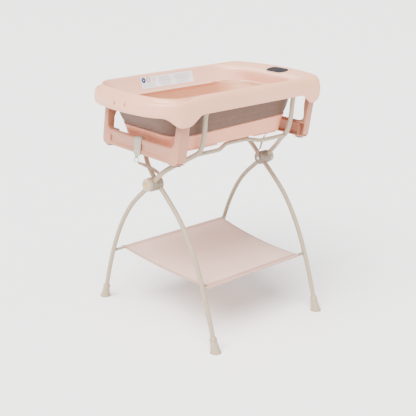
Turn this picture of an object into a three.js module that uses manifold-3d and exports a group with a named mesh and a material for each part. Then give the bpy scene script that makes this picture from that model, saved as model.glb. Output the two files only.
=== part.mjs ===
// A folding bath and changing stand: a collapsible baby bath with folding legs, resting on a
// scissor frame of round tube with a fabric shelf. Millimetres, +Z up. The origin is on the
// floor under the middle of the bath. +X runs along the bath towards its display end, -Y is
// the side that a person stands at.
import * as THREE from 'three';
import { mergeVertices } from 'three/addons/utils/BufferGeometryUtils.js';
import Module from 'manifold-3d';

const wasm = await Module();
wasm.setup();

// ---------------------------------------------------------------- driving dimensions
const GAP = 0.35; // left between neighbours that touch
const TAU = Math.PI * 2;

// stand
const STAND_X = 24; // middle of the stand
const TUBE_R = 9.5;
const HUB_Z = 605;
const OUTER_X = { foot: 319.6, hub: 309, rail: 230 }; // half widths of the wider frame
const INNER_X = { foot: 285.6, hub: 284, rail: 215 }; // half widths of the narrower frame
const RAIL_Y = 241;
const RAIL_Z = 945;
const RAIL_BEND = 42;
const BAR_R = 8;
const BAR_Y = 190;
const BAR_Z = 752;
const BAR_JOG = { out: 105, in: 60, inward: 24, up: 10, middle: -15 };
const ROD_R = 6;
const ROD_Y = 277.4;
const ROD_Z = 241;
const TUBE_START_Z = 11; // the tubes stop this far above the floor, inside the boots

// one side of a frame seen along X: [distance from the pivot plane, height]
const LEG_PROFILE = [
  [353, TUBE_START_Z], [332, 84], [296, 195], [235, 345], [152, 475], [72, 548], [34, 580],
];
const UPRIGHT_PROFILE = [
  [30, 634], [62, 664], [95, 690], [165, 738], [199, 762], [216, 797], [227, 850], [231, 898],
];

const HUB = {
  r: 28, thick: 24.5, gap: 1.6, capR: 25.5, capLength: 20, boltR: 4, boltHeadR: 9, boltHead: 4,
};
const BADGE = { r: 9.5, thick: 1.2 };
const BOOT = { r: 21, topR: 12.6, length: 62 };

// shelf sling
const SHELF = { farLeft: -246, farRight: 329, nearLeft: -244, nearRight: 264, y: 284, thick: 1.8 };

// bath, all heights from the floor
const BATH_X = -10; // where the middle of the bath's opening lies
const RIM_TOP = 990;
const SKIRT_Z = 922;
const LOBE_DROP = 38;
// where each lobe of the skirt begins, is full, starts to rise and ends, from BATH_X outwards
const LOBES = { left: [232, 286, 330, 380], right: [296, 340, 366, 414] };
const STEP_Z = 921;
const LEAN = 0.025; // the foot of the soft wall rises this much per millimetre towards +X
const WALL_BOTTOM = 838;
const BASIN_BOTTOM = 775;
const RIB_DROP = 5;

const LEG = {
  halfOut: 240, postIn: 219, windowIn: 213, barDepth: 25, barTop: -106, bottom: -170,
  pinZ: 905, pinR: 4, skin: 4, corner: 22, bevel: 12, cheek: 9, cheekTop: -34, cheekFoot: 16,
};
const LEFT_LEG = { x: -306, depth: 44, tilt: -8 }; // a negative tilt puts the foot further out
const RIGHT_LEG = { x: 360, depth: 30, tilt: 11 };
const PIN_END = 255;
const PAD = { width: 24, height: 5 };
const HOOK = { y: 3, width: 40, thick: 3.6 };
const RING = { r: 10.5, wire: 1.8 };
const STRAP = { width: 14, thick: 1.6 };
const STRAP_TOP = { left: [-348, 704.5], right: [332, 700] }; // just under each ring
const DISPLAY = { x: 382, y: -14, z: 976.8, tilt: 11, length: 116, width: 62, frame: 3 };
// the deck at the display's end slopes down by depth towards the bowl, between from and full along X
const DISH = { depth: 13.5, from: 240, full: 325 };
const LABEL = { x0: -160, x1: 110, z0: 934, z1: 978, thick: 0.8 };
const DRAIN = { x: -200, r: 24 };

// ---------------------------------------------------------------- materials
const finish = (color, roughness, metalness = 0) =>
  new THREE.MeshStandardMaterial({ color, roughness, metalness });
const paintedTube = () => finish(0xbeb6aa, 0.45);
const hubPlastic = () => finish(0xc3bbb0, 0.55);
const ivory = () => finish(0xe3dccf, 0.5);
const gold = () => finish(0xcda55a, 0.35, 1);
const steel = () => finish(0xb9b9ba, 0.3, 1);
const pinkShell = () => finish(0xe6c9bc, 0.38);
const softWall = () => finish(0xb08f7d, 0.65);
const greyRubber = () => finish(0x6b6866, 0.8);
const greyPlastic = () => finish(0xb4afa5, 0.5);
const shelfFabric = () => finish(0xdccabf, 0.9);
const strapWeb = () => finish(0xd3bfb2, 0.85);
const darkGlass = () => finish(0x4b4b4e, 0.2);
const paper = () => finish(0xefeef0, 0.6);

// ---------------------------------------------------------------- mesh helpers
/** A closed three.js geometry as a manifold solid. */
function solid(geometry) {
  const bare = geometry.clone();
  bare.deleteAttribute('normal');
  bare.deleteAttribute('uv');
  const merged = mergeVertices(bare, 1e-4);
  return new wasm.Manifold(
    new wasm.Mesh({
      numProp: 3,
      vertProperties: new Float32Array(merged.attributes.position.array),
      triVerts: new Uint32Array(merged.index.array),
    }),
  );
}

/** A manifold solid as a three.js geometry. */
function geometryOf(body) {
  const mesh = body.getMesh();
  const geometry = new THREE.BufferGeometry();
  geometry.setAttribute('position', new THREE.BufferAttribute(mesh.vertProperties, 3));
  geometry.setIndex(new THREE.BufferAttribute(mesh.triVerts, 1));
  geometry.computeVertexNormals();
  return geometry;
}

/** Joins rings of points, all of one length, into a skin: a closed loop of rings, or capped. */
function loft(rings, closedLoop) {
  const n = rings[0].length;
  const vertices = rings.flat().flatMap((p) => [p.x, p.y, p.z]);
  const faces = [];
  const strips = closedLoop ? rings.length : rings.length - 1;
  for (let i = 0; i < strips; i++) {
    const here = i * n;
    const next = ((i + 1) % rings.length) * n;
    for (let j = 0; j < n; j++) {
      const k = (j + 1) % n;
      faces.push(here + j, here + k, next + k, here + j, next + k, next + j);
    }
  }
  if (!closedLoop) {
    const cap = (ring, first, flip) => {
      const middle = ring.reduce((s, p) => s.add(p), new THREE.Vector3()).divideScalar(n);
      const centre = vertices.length / 3;
      vertices.push(middle.x, middle.y, middle.z);
      for (let j = 0; j < n; j++) {
        const a = first + j;
        const b = first + ((j + 1) % n);
        faces.push(...(flip ? [centre, b, a] : [centre, a, b]));
      }
    };
    cap(rings[0], 0, true);
    cap(rings.at(-1), (rings.length - 1) * n, false);
  }
  const geometry = new THREE.BufferGeometry();
  geometry.setAttribute('position', new THREE.Float32BufferAttribute(vertices, 3));
  geometry.setIndex(faces);
  const body = solid(geometry);
  if (body.volume() > 0) return body;
  const turned = [];
  for (let i = 0; i < faces.length; i += 3) turned.push(faces[i], faces[i + 2], faces[i + 1]);
  geometry.setIndex(turned);
  return solid(geometry);
}

/** A round bar along a curve. */
function bar(curve, r, steps, sides = 10) {
  const section = new THREE.Shape();
  for (let i = 0; i < sides; i++) {
    const a = (TAU * (i + 0.5)) / sides;
    section[i ? 'lineTo' : 'moveTo'](r * Math.cos(a), r * Math.sin(a));
  }
  return solid(
    new THREE.ExtrudeGeometry(section, { steps, extrudePath: curve, bevelEnabled: false }),
  );
}

/** A smooth curve whose steps are shared out evenly between its points, not along its length. */
function smooth(points) {
  const curve = new THREE.CatmullRomCurve3(
    points.map((p) => new THREE.Vector3(...p)), false, 'centripetal',
  );
  curve.getUtoTmapping = (u) => u;
  curve.stepCount = Math.round((points.length - 1) * 1.5);
  return curve;
}
const straight = (a, b) => new THREE.LineCurve3(new THREE.Vector3(...a), new THREE.Vector3(...b));

/** A cylinder or cone along X, from x0 to x1. */
function drumX(r0, r1, x0, x1, y, z, sides = 32) {
  const geometry = new THREE.CylinderGeometry(r1, r0, x1 - x0, sides);
  geometry.rotateZ(-Math.PI / 2);
  geometry.translate((x0 + x1) / 2, y, z);
  return solid(geometry);
}

function drumY(r, x, y0, y1, z, sides = 12) {
  const geometry = new THREE.CylinderGeometry(r, r, Math.abs(y1 - y0), sides);
  geometry.translate(x, (y0 + y1) / 2, z);
  return solid(geometry);
}

function drumZ(r0, r1, x, y, z0, z1, sides = 32) {
  const geometry = new THREE.CylinderGeometry(r1, r0, z1 - z0, sides);
  geometry.rotateX(Math.PI / 2);
  geometry.translate(x, y, (z0 + z1) / 2);
  return solid(geometry);
}

function block(x0, x1, y0, y1, z0, z1) {
  const geometry = new THREE.BoxGeometry(x1 - x0, y1 - y0, z1 - z0);
  geometry.translate((x0 + x1) / 2, (y0 + y1) / 2, (z0 + z1) / 2);
  return solid(geometry);
}

/** A flat outline extruded upwards from z0 to z1. */
function plate(shape, z0, z1) {
  const geometry = new THREE.ExtrudeGeometry(shape, {
    depth: z1 - z0, bevelEnabled: false, curveSegments: 8,
  });
  geometry.translate(0, 0, z0);
  return solid(geometry);
}

function stadium(length, width, grow = 0) {
  const r = width / 2 + grow;
  const half = (length - width) / 2;
  const shape = new THREE.Shape();
  shape.moveTo(r, half);
  shape.absarc(0, half, r, 0, Math.PI, false);
  shape.absarc(0, -half, r, Math.PI, TAU, false);
  shape.closePath();
  return shape;
}

const smoothstep = (a, b, t) => {
  const s = Math.min(1, Math.max(0, (t - a) / (b - a)));
  return s * s * (3 - 2 * s);
};

// ---------------------------------------------------------------- stand tubes
/** One side tube of a frame: foot, hub, upright and the turn into the top rail. */
function sideTubePath(width, side, legSide, upright = true) {
  const x = (d) => STAND_X + side * d;
  const footToHub = (z) => THREE.MathUtils.lerp(width.foot, width.hub, smoothstep(200, 560, z));
  const hubToRail = (d) =>
    THREE.MathUtils.lerp(width.hub, width.rail, smoothstep(38, 215, d));
  const leg = LEG_PROFILE.map(([d, z]) => [x(footToHub(z)), legSide * d, z]);
  const pivot = [[x(width.hub), legSide * 0, HUB_Z]];
  if (!upright) return [...leg, ...pivot];
  const up = UPRIGHT_PROFILE.map(([d, z]) => [x(hubToRail(d)), -legSide * d, z]);
  const turn = [
    [x(width.rail - 1), -legSide * (RAIL_Y - 6), RAIL_Z - 26],
    [x(width.rail - 7), -legSide * (RAIL_Y - 1), RAIL_Z - 7],
    [x(width.rail - 24), -legSide * RAIL_Y, RAIL_Z],
    [x(width.rail - RAIL_BEND), -legSide * RAIL_Y, RAIL_Z],
  ];
  return [...leg, ...pivot, ...up, ...turn];
}

const FRAMES = {
  outer: { width: OUTER_X, legSide: 1 }, // legs on +Y, uprights on -Y
  inner: { width: INNER_X, legSide: -1 }, // legs on -Y, uprights on +Y
};
const SIDES = { left: -1, right: 1 };

function boltHole(side, r) {
  const inner = STAND_X + side * 255;
  const outer = STAND_X + side * 335;
  return drumX(r, r, Math.min(inner, outer), Math.max(inner, outer), 0, HUB_Z, 12);
}

function sideTube(frame, side) {
  const curve = smooth(sideTubePath(frame.width, side, frame.legSide));
  return bar(curve, TUBE_R, curve.stepCount).subtract(boltHole(side, HUB.boltR + GAP));
}

function swollenSideTube(frame, side) {
  const curve = smooth(sideTubePath(frame.width, side, frame.legSide));
  return bar(curve, TUBE_R + GAP, curve.stepCount);
}

function topRail(frame) {
  const reach = frame.width.rail - RAIL_BEND - GAP;
  const y = -frame.legSide * RAIL_Y;
  return bar(straight([STAND_X - reach, y, RAIL_Z], [STAND_X + reach, y, RAIL_Z]), TUBE_R, 1);
}

/** The lower cross bar, with its middle set inwards and up under the basin. */
function crossBar(frame, tubes) {
  const side = -frame.legSide;
  const end = frame.width.rail - 2;
  const mid = STAND_X + BAR_JOG.middle;
  const y0 = side * BAR_Y;
  const y1 = side * (BAR_Y - BAR_JOG.inward);
  const z1 = BAR_Z + BAR_JOG.up;
  const shoulder = 12;
  const points = [
    [STAND_X - end, y0, BAR_Z],
    [mid - BAR_JOG.out - shoulder, y0, BAR_Z],
    [mid - BAR_JOG.out, y0 - side * 2, BAR_Z + 1],
    [mid - BAR_JOG.in, y1 + side * 2, z1 - 1],
    [mid - BAR_JOG.in + shoulder, y1, z1],
    [mid + BAR_JOG.in - shoulder, y1, z1],
    [mid + BAR_JOG.in, y1 + side * 2, z1 - 1],
    [mid + BAR_JOG.out, y0 - side * 2, BAR_Z + 1],
    [mid + BAR_JOG.out + shoulder, y0, BAR_Z],
    [STAND_X + end, y0, BAR_Z],
  ];
  const curve = smooth(points);
  return trimmed(bar(curve, BAR_R, curve.stepCount), tubes);
}

function shelfRod(frame, tubes) {
  const y = frame.legSide * ROD_Y;
  const end = frame.width.foot;
  const rod = bar(
    straight([STAND_X - end, y, ROD_Z], [STAND_X + end, y, ROD_Z]), ROD_R, 1,
  );
  return trimmed(rod, tubes);
}

/** What is left of a bar between the two tubes that it meets. */
function trimmed(body, tubes) {
  const cut = tubes.reduce((rest, tube) => rest.subtract(tube), body);
  const pieces = cut.decompose();
  return pieces.reduce((best, piece) => (piece.volume() > best.volume() ? piece : best));
}

function boot(frame, side, tube) {
  const path = sideTubePath(frame.width, side, frame.legSide);
  const foot = new THREE.Vector3(...path[0]);
  const axis = new THREE.Vector3(...path[1]).sub(foot).normalize();
  const drop = 26;
  const ring = BOOT.length - 12;
  const profile = [
    [0, -drop], [BOOT.r + 2, -drop], [BOOT.r, 0], [BOOT.r - 2.2, 10], [16.6, 30],
    [BOOT.topR + 1.6, ring - 3], [BOOT.topR + 2.4, ring], [BOOT.topR + 2.4, ring + 6],
    [BOOT.topR, BOOT.length], [0, BOOT.length],
  ].map(([r, h]) => new THREE.Vector2(r, h));
  const geometry = new THREE.LatheGeometry(profile, 20);
  const turn = new THREE.Quaternion().setFromUnitVectors(new THREE.Vector3(0, 1, 0), axis);
  geometry.applyQuaternion(turn);
  const base = foot.clone().addScaledVector(axis, -TUBE_START_Z / axis.z);
  geometry.translate(base.x, base.y, base.z);
  const below = block(base.x - 60, base.x + 60, base.y - 60, base.y + 60, -90, 0);
  return solid(geometry).subtract(below).subtract(tube);
}

// ---------------------------------------------------------------- hubs
/** The X range of one half of a hub, given the tube that it carries. */
function hubHalf(width, side, tube) {
  const middle = STAND_X + side * width.hub;
  const half = (HUB.thick - (width === INNER_X ? HUB.gap : 0)) / 2;
  const disc = drumX(HUB.r, HUB.r, middle - half, middle + half, 0, HUB_Z, 32);
  return disc.subtract(tube).subtract(boltHole(side, HUB.boltR + GAP));
}

function sideSpan(side, from, to) {
  const a = STAND_X + side * from;
  const b = STAND_X + side * to;
  return [Math.min(a, b), Math.max(a, b)];
}

function hubCap(side) {
  const from = OUTER_X.hub + HUB.thick / 2 + GAP;
  const length = HUB.capLength;
  const [x0, x1] = sideSpan(side, from, from + length);
  const rim = 3;
  const profile = [
    [0, 0], [HUB.capR, 0], [HUB.capR, length - rim], [HUB.capR - rim, length],
    [BADGE.r + 1.5, length], [BADGE.r + 1.5, length - 2], [0, length - 2],
  ].map(([r, h]) => new THREE.Vector2(r, h));
  const geometry = new THREE.LatheGeometry(profile, 32);
  geometry.rotateZ(side > 0 ? -Math.PI / 2 : Math.PI / 2);
  geometry.translate(side > 0 ? x0 : x1, 0, HUB_Z);
  const [b0, b1] = sideSpan(side, from - 30, from + 9);
  return solid(geometry).subtract(drumX(HUB.boltR + GAP, HUB.boltR + GAP, b0, b1, 0, HUB_Z, 12));
}

function hubBadge(side) {
  const face = OUTER_X.hub + HUB.thick / 2 + HUB.capLength + GAP;
  const [x0, x1] = sideSpan(side, face - 2 + GAP, face - 2 + GAP + BADGE.thick);
  return drumX(BADGE.r, BADGE.r, x0, x1, 0, HUB_Z, 24);
}

function pivotBolt(side) {
  const inner = INNER_X.hub - HUB.thick / 2;
  const [h0, h1] = sideSpan(side, inner - GAP - HUB.boltHead, inner - GAP);
  const [s0, s1] = sideSpan(side, inner - GAP - 1, OUTER_X.hub + HUB.thick / 2 + 7);
  const head = drumX(HUB.boltHeadR, HUB.boltHeadR, h0, h1, 0, HUB_Z, 6);
  return head.add(drumX(HUB.boltR, HUB.boltR, s0, s1, 0, HUB_Z, 12));
}

function frictionWasher(side) {
  const inner = INNER_X.hub + (HUB.thick - HUB.gap) / 2;
  const outer = OUTER_X.hub - HUB.thick / 2;
  const [x0, x1] = sideSpan(side, inner + GAP, outer - GAP);
  const disc = drumX(HUB.r - 6, HUB.r - 6, x0, x1, 0, HUB_Z, 24);
  return disc.subtract(boltHole(side, HUB.boltR + GAP));
}

// ---------------------------------------------------------------- bath outlines
// where the points of an outline lie on each long side and on each end, from -1 to 1
const FINE = { side: [0.36, 0.64, 0.71, 0.78, 0.9], end: [0.3, 0.6, 0.82] };
const COARSE = { side: [0.5], end: [0.5] };
const CORNER_STEPS = 8;

/**
 * A plan outline as points: left and right are its reaches along X from BATH_X, half its half
 * width, rl and rr the corner radii at each end, bow how far the ends bulge.
 */
function outline({ left, right, half, rl, rr, bow = 0 }, z, grow = 0, spread = FINE) {
  const [l, r, h] = [left + grow, right + grow, half + grow];
  const [cl, cr] = [Math.min(rl + grow, h - 1), Math.min(rr + grow, h - 1)];
  const along = (fractions) => [
    ...fractions.slice().reverse().map((f) => -f), 0, ...fractions,
  ];
  const points = [];
  const corner = (cx, cy, radius, from) => {
    for (let i = 0; i <= CORNER_STEPS; i++) {
      const a = from + (Math.PI / 2) * (i / CORNER_STEPS);
      points.push([cx + radius * Math.cos(a), cy + radius * Math.sin(a)]);
    }
  };
  const edge = (a, b, fractions) => {
    for (const f of along(fractions)) {
      const t = (f + 1) / 2;
      points.push([a[0] + (b[0] - a[0]) * t, a[1] + (b[1] - a[1]) * t]);
    }
  };
  corner(r - cr, h - cr, cr, 0);
  edge([r - cr, h], [-l + cl, h], spread.side);
  corner(-l + cl, h - cl, cl, Math.PI / 2);
  edge([-l, h - cl], [-l, -h + cl], spread.end);
  corner(-l + cl, -h + cl, cl, Math.PI);
  edge([-l + cl, -h], [r - cr, -h], spread.side);
  corner(r - cr, -h + cr, cr, (Math.PI * 3) / 2);
  edge([r, -h + cr], [r, h - cr], spread.end);
  return points.map(([px, py]) => {
    const pull = bow * (py / h) ** 2 * Math.abs(px / (px > 0 ? r : l)) ** 3;
    const x = px - Math.sign(px) * pull;
    return new THREE.Vector3(x + BATH_X, py, typeof z === 'function' ? z(x, py) : z);
  });
}

/** The rim's outer outline, brought in by d at the ends and by side along the sides. */
const shell = (d, side) =>
  ({ left: 435 - d, right: 455 - d, half: 262 - side, rl: 108 - d * 0.6, rr: 30, bow: 49 });

/** The lower edge of the skirt, which hangs lower beside each corner. */
function skirtEdge(x, y) {
  const [from, full, rise, end] = x < 0 ? LOBES.left : LOBES.right;
  const along = Math.abs(x);
  const lobe = smoothstep(from, full, along) * (1 - smoothstep(rise, end, along));
  return SKIRT_Z - LOBE_DROP * lobe * smoothstep(150, 225, Math.abs(y));
}

/** A height that sinks with the sloping deck at the display's end by this share. */
const dished = (z, share = 1) => (x) => z - DISH.depth * share * smoothstep(DISH.from, DISH.full, x);

/** A height that steps down round the other end, by this depth. */
const stepped = (z, depth) => (x) => z - depth * smoothstep(190, 340, -x);

/** Sets a level body made at the origin on the sloping deck. */
const onDeck = (body) =>
  body.rotate([0, -DISPLAY.tilt, 0]).translate([DISPLAY.x, DISPLAY.y, DISPLAY.z]);

function rim() {
  const skin = [
    outline(shell(3, 2.2), skirtEdge),
    outline(shell(0.5, 0.4), (x, y) => skirtEdge(x, y) + 10),
    outline(shell(1, 1.4), 952),
    outline(shell(3.5, 5), stepped(972, 3)),
    outline(shell(8.5, 10), stepped(984, 9.6)),
    outline(shell(14, 15), stepped(989, 15)),
    outline(shell(22, 19.5), stepped(RIM_TOP, 14)),
    outline(shell(32, 20.7), stepped(RIM_TOP, 3)),
    outline({ left: 391, right: 355, half: 238.5, rl: 84, rr: 96, bow: 36 }, dished(988)),
    outline({ left: 386, right: 350, half: 235.5, rl: 84, rr: 100, bow: 33 }, dished(981)),
    outline({ left: 376, right: 353, half: 224, rl: 88, rr: 102, bow: 28 }, dished(952, 0.5)),
    outline({ left: 362, right: 358, half: 208, rl: 90, rr: 100, bow: 22 }, STEP_Z),
    outline({ left: 367, right: 363, half: 213, rl: 94, rr: 104, bow: 22 }, STEP_Z),
    outline({ left: 380, right: 358, half: 228, rl: 92, rr: 106, bow: 28 }, dished(952, 0.5)),
    outline({ left: 389, right: 355, half: 239, rl: 88, rr: 104, bow: 33 }, dished(976)),
    outline({ left: 394, right: 358, half: 242, rl: 88, rr: 98, bow: 36 }, dished(981)),
    outline(shell(17, 16), stepped(982, 16)),
    outline(shell(9.5, 10), stepped(972, 9)),
    outline(shell(4.6, 5), 950),
    outline(shell(4, 3.9), (x, y) => skirtEdge(x, y) + 10),
    outline(shell(6.5, 5.7), skirtEdge),
  ];
  const slots = [
    block(BATH_X - 460, BATH_X - 395, 5, 14, 944, 958),
    block(BATH_X - 460, BATH_X - 395, -62, -49, 947, 959),
  ];
  const window = onDeck(plate(stadium(DISPLAY.length, DISPLAY.width, GAP), -9 - GAP, 40));
  return slots.reduce((body, slot) => body.subtract(slot), loft(skin, true)).subtract(window);
}

/** A height that follows the lean of the soft wall's foot by this share. */
const leaning = (z, share = 1) => (x) => z + LEAN * share * x;

const WALL_TOP = { left: 365, right: 361, half: 211, rl: 94, rr: 104, bow: 22 };
const WALL_RINGS = [
  [{ left: 341, right: 350, half: 206.5, rl: 112, rr: 130 }, 905],
  [{ left: 323, right: 321, half: 202, rl: 100, rr: 98 }, 870],
  [{ left: 303, right: 288, half: 197, rl: 88, rr: 68 }, WALL_BOTTOM],
];
const WALL_THICK = 2.6;

function foldWall() {
  const flange = 4.5;
  const outside = WALL_RINGS.map(([plan, z], i) =>
    outline(plan, i ? leaning(z) : z, 0, COARSE));
  const inside = WALL_RINGS.map(([plan, z], i) =>
    outline(plan, i ? leaning(z) : z, -WALL_THICK, COARSE));
  return loft([
    outline(WALL_TOP, STEP_Z - GAP, 0, COARSE),
    outline(WALL_TOP, STEP_Z - GAP - flange, 0, COARSE),
    ...outside,
    ...inside.reverse(),
    outline(WALL_TOP, STEP_Z - GAP - 2, -9, COARSE),
    outline(WALL_TOP, STEP_Z - GAP, -7.5, COARSE),
  ], true);
}

function basin() {
  const top = WALL_BOTTOM - GAP;
  const out = (left, right, half, rl, rr, z, share = 0) =>
    outline({ left, right, half, rl, rr }, leaning(z, share), 0, COARSE);
  const skin = [
    out(258, 232, 154, 62, 40, BASIN_BOTTOM + 4),
    out(274, 248, 169, 70, 46, BASIN_BOTTOM + 6),
    out(283, 257, 178, 76, 48, BASIN_BOTTOM + 14),
    out(289, 264, 185, 80, 52, BASIN_BOTTOM + 30, 0.4),
    out(296, 279, 191, 84, 62, top - 6, 1),
    out(297, 281, 192, 84, 62, top, 1),
    out(305, 290, 199.5, 90, 70, top, 1),
    out(304.4, 289.4, 198.9, 90, 70, top - 7, 1),
    out(297, 272, 191.5, 84, 60, BASIN_BOTTOM + 30, 0.4),
    out(293, 267, 187.5, 82, 56, BASIN_BOTTOM + 8),
    out(288, 262, 183, 78, 52, BASIN_BOTTOM + 2.5),
    out(276, 250, 171, 70, 44, BASIN_BOTTOM),
  ];
  // four ribs under the floor, which rest either side of the jogs in the cross bars
  const ribs = [[-238, -92], [101, 226]].flatMap(([x0, x1]) => [-1, 1].map((side) => block(
    BATH_X + x0, BATH_X + x1, Math.min(side * 171, side * 181), Math.max(side * 171, side * 181),
    BASIN_BOTTOM - RIB_DROP, BASIN_BOTTOM + 5,
  )));
  const hole = drumZ(
    DRAIN.r - 3, DRAIN.r - 3, DRAIN.x, 0, BASIN_BOTTOM - 30, BASIN_BOTTOM + 30, 20,
  );
  return ribs.reduce((body, rib) => body.add(rib), loft(skin, false)).subtract(hole);
}

/** The drain fitting that lines the hole in the basin's floor. */
function drainSeat() {
  const floor = BASIN_BOTTOM + 4;
  const r = DRAIN.r;
  const profile = [
    [r - 8, -9], [r - 3 - GAP, -9], [r - 3 - GAP, 1.6], [r, 1.6], [r, 3.4], [r - 6.5, 3.4],
    [r - 8, 2], [r - 8, -9],
  ].map(([x, h]) => new THREE.Vector2(x, h));
  const geometry = new THREE.LatheGeometry(profile, 20);
  geometry.rotateX(Math.PI / 2);
  geometry.translate(DRAIN.x, 0, floor);
  return solid(geometry);
}

function drainPlug() {
  const floor = BASIN_BOTTOM + 4;
  const r = DRAIN.r - 8 - GAP;
  const profile = [
    [0, -7], [r - 1, -7], [r, 2], [r + 1, 3.8], [r - 2, 6.5], [4.5, 6.5], [4.5, 12], [0, 12],
  ].map(([x, h]) => new THREE.Vector2(x, h));
  const geometry = new THREE.LatheGeometry(profile, 20);
  geometry.rotateX(Math.PI / 2);
  geometry.translate(DRAIN.x, 0, floor + 0.4);
  return solid(geometry);
}

// ---------------------------------------------------------------- bath legs
/** A U-shaped leg hanging from its hinge line at the origin, outside face towards -X. */
function legShell(depth) {
  const out = LEG.halfOut;
  const post = (side) => {
    const face = new THREE.Shape();
    const inner = LEG.postIn;
    face.moveTo(side * out, 24);
    face.lineTo(side * (out - 1), LEG.bottom + LEG.corner);
    face.absarc(
      side * (out - 1 - LEG.corner), LEG.bottom + LEG.corner, LEG.corner,
      side > 0 ? 0 : Math.PI, side > 0 ? -Math.PI / 2 : Math.PI * 1.5, side > 0,
    );
    face.lineTo(side * (LEG.windowIn - 24), LEG.bottom);
    face.lineTo(side * (LEG.windowIn - 24), LEG.barTop - 6);
    face.lineTo(side * (LEG.windowIn - 16), LEG.barTop);
    face.lineTo(side * (LEG.windowIn - 3), LEG.barTop + 8);
    face.lineTo(side * LEG.windowIn, LEG.barTop + 24);
    face.lineTo(side * inner, 24);
    face.closePath();
    const geometry = new THREE.ExtrudeGeometry(face, {
      depth, bevelEnabled: false, curveSegments: 5,
    });
    geometry.rotateZ(Math.PI / 2);
    geometry.rotateY(Math.PI / 2);
    geometry.translate(-depth / 2, 0, 0);
    return solid(geometry);
  };
  const outside = -depth / 2;
  const inside = outside + LEG.barDepth;
  const section = new THREE.Shape();
  // the outside face has a proud upper band, a hollow middle and a proud lower lip
  section.moveTo(inside, LEG.barTop - LEG.bevel);
  section.lineTo(inside - LEG.bevel, LEG.barTop);
  section.lineTo(outside + 5, LEG.barTop);
  section.lineTo(outside + 1, LEG.barTop - 5);
  section.lineTo(outside + 1, LEG.barTop - 18);
  section.lineTo(outside + 5, LEG.barTop - 26);
  section.lineTo(outside + 6, LEG.barTop - 44);
  section.lineTo(outside + 1.5, LEG.barTop - 53);
  section.lineTo(outside + 1.5, LEG.bottom + 5);
  section.lineTo(outside + 5, LEG.bottom + 1);
  section.lineTo(inside, LEG.bottom + 1);
  section.closePath();
  const span = 2 * (LEG.windowIn - 10);
  const crossGeometry = new THREE.ExtrudeGeometry(section, { depth: span, bevelEnabled: false });
  crossGeometry.rotateX(Math.PI / 2);
  crossGeometry.translate(0, span / 2, 0);
  const pocket = block(
    outside + 9, inside + 40, -LEG.windowIn + 12, LEG.windowIn - 12,
    LEG.bottom + 6, LEG.barTop - LEG.bevel - 4,
  );
  const ribs = [-2, -1, 0, 1, 2].map((i) => block(
    outside + 7, inside - 1, i * 66 - 1.5, i * 66 + 1.5, LEG.bottom + 3, LEG.barTop - LEG.bevel - 2,
  ));
  let body = solid(crossGeometry).subtract(pocket);
  for (const rib of ribs) body = body.add(rib);
  for (const side of [-1, 1]) {
    const inner = side * (LEG.windowIn - 24);
    const hollow = block(
      outside + LEG.skin, depth,
      Math.min(inner, side * (out - LEG.skin)), Math.max(inner, side * (out - LEG.skin)),
      LEG.bottom + 6, LEG.barTop - 8,
    );
    body = body.add(post(side).subtract(hollow));
    body = body.subtract(drumY(LEG.pinR + GAP, 0, side * 205, side * 262, 0));
  }
  const rounded = drumY(depth / 2, 0, -out - 5, out + 5, 0, 24)
    .add(block(-depth, depth, -out - 5, out + 5, LEG.bottom - 5, 0));
  return body.intersect(rounded).subtract(cheekCut(depth));
}

/** Thins the posts towards the bar between their outer cheeks, which keep the full depth. */
function cheekCut(depth) {
  const outside = -depth / 2;
  const low = LEG.barTop + 12;
  const section = new THREE.Shape([
    new THREE.Vector2(depth, LEG.cheekTop), new THREE.Vector2(depth / 2, LEG.cheekTop),
    new THREE.Vector2(outside + LEG.cheekFoot, low), new THREE.Vector2(outside + LEG.barDepth, low - 14),
    new THREE.Vector2(depth, low - 14),
  ]);
  const half = LEG.halfOut - LEG.cheek;
  const geometry = new THREE.ExtrudeGeometry(section, { depth: 2 * half, bevelEnabled: false });
  geometry.rotateX(Math.PI / 2);
  geometry.translate(0, half, 0);
  return solid(geometry);
}

/** Puts a leg's piece, drawn for the left end, at its own end of the bath. */
function atLeg(body, leg, mirrored) {
  const tilted = body.rotate([0, -leg.tilt, 0]);
  return (mirrored ? tilted.mirror([1, 0, 0]) : tilted).translate([leg.x, 0, LEG.pinZ]);
}

function legPad(side, depth) {
  const y1 = side * (LEG.halfOut - 1 - LEG.corner);
  const y0 = y1 - side * PAD.width;
  return block(
    -depth / 2 + 3, depth / 2 - 5, Math.min(y0, y1), Math.max(y0, y1),
    LEG.bottom - GAP - PAD.height, LEG.bottom - GAP,
  );
}

function hingePin(leg, side) {
  const y0 = side * 222;
  const y1 = side * PIN_END;
  return drumY(LEG.pinR, leg.x, Math.min(y0, y1), Math.max(y0, y1), LEG.pinZ, 20);
}

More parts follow.
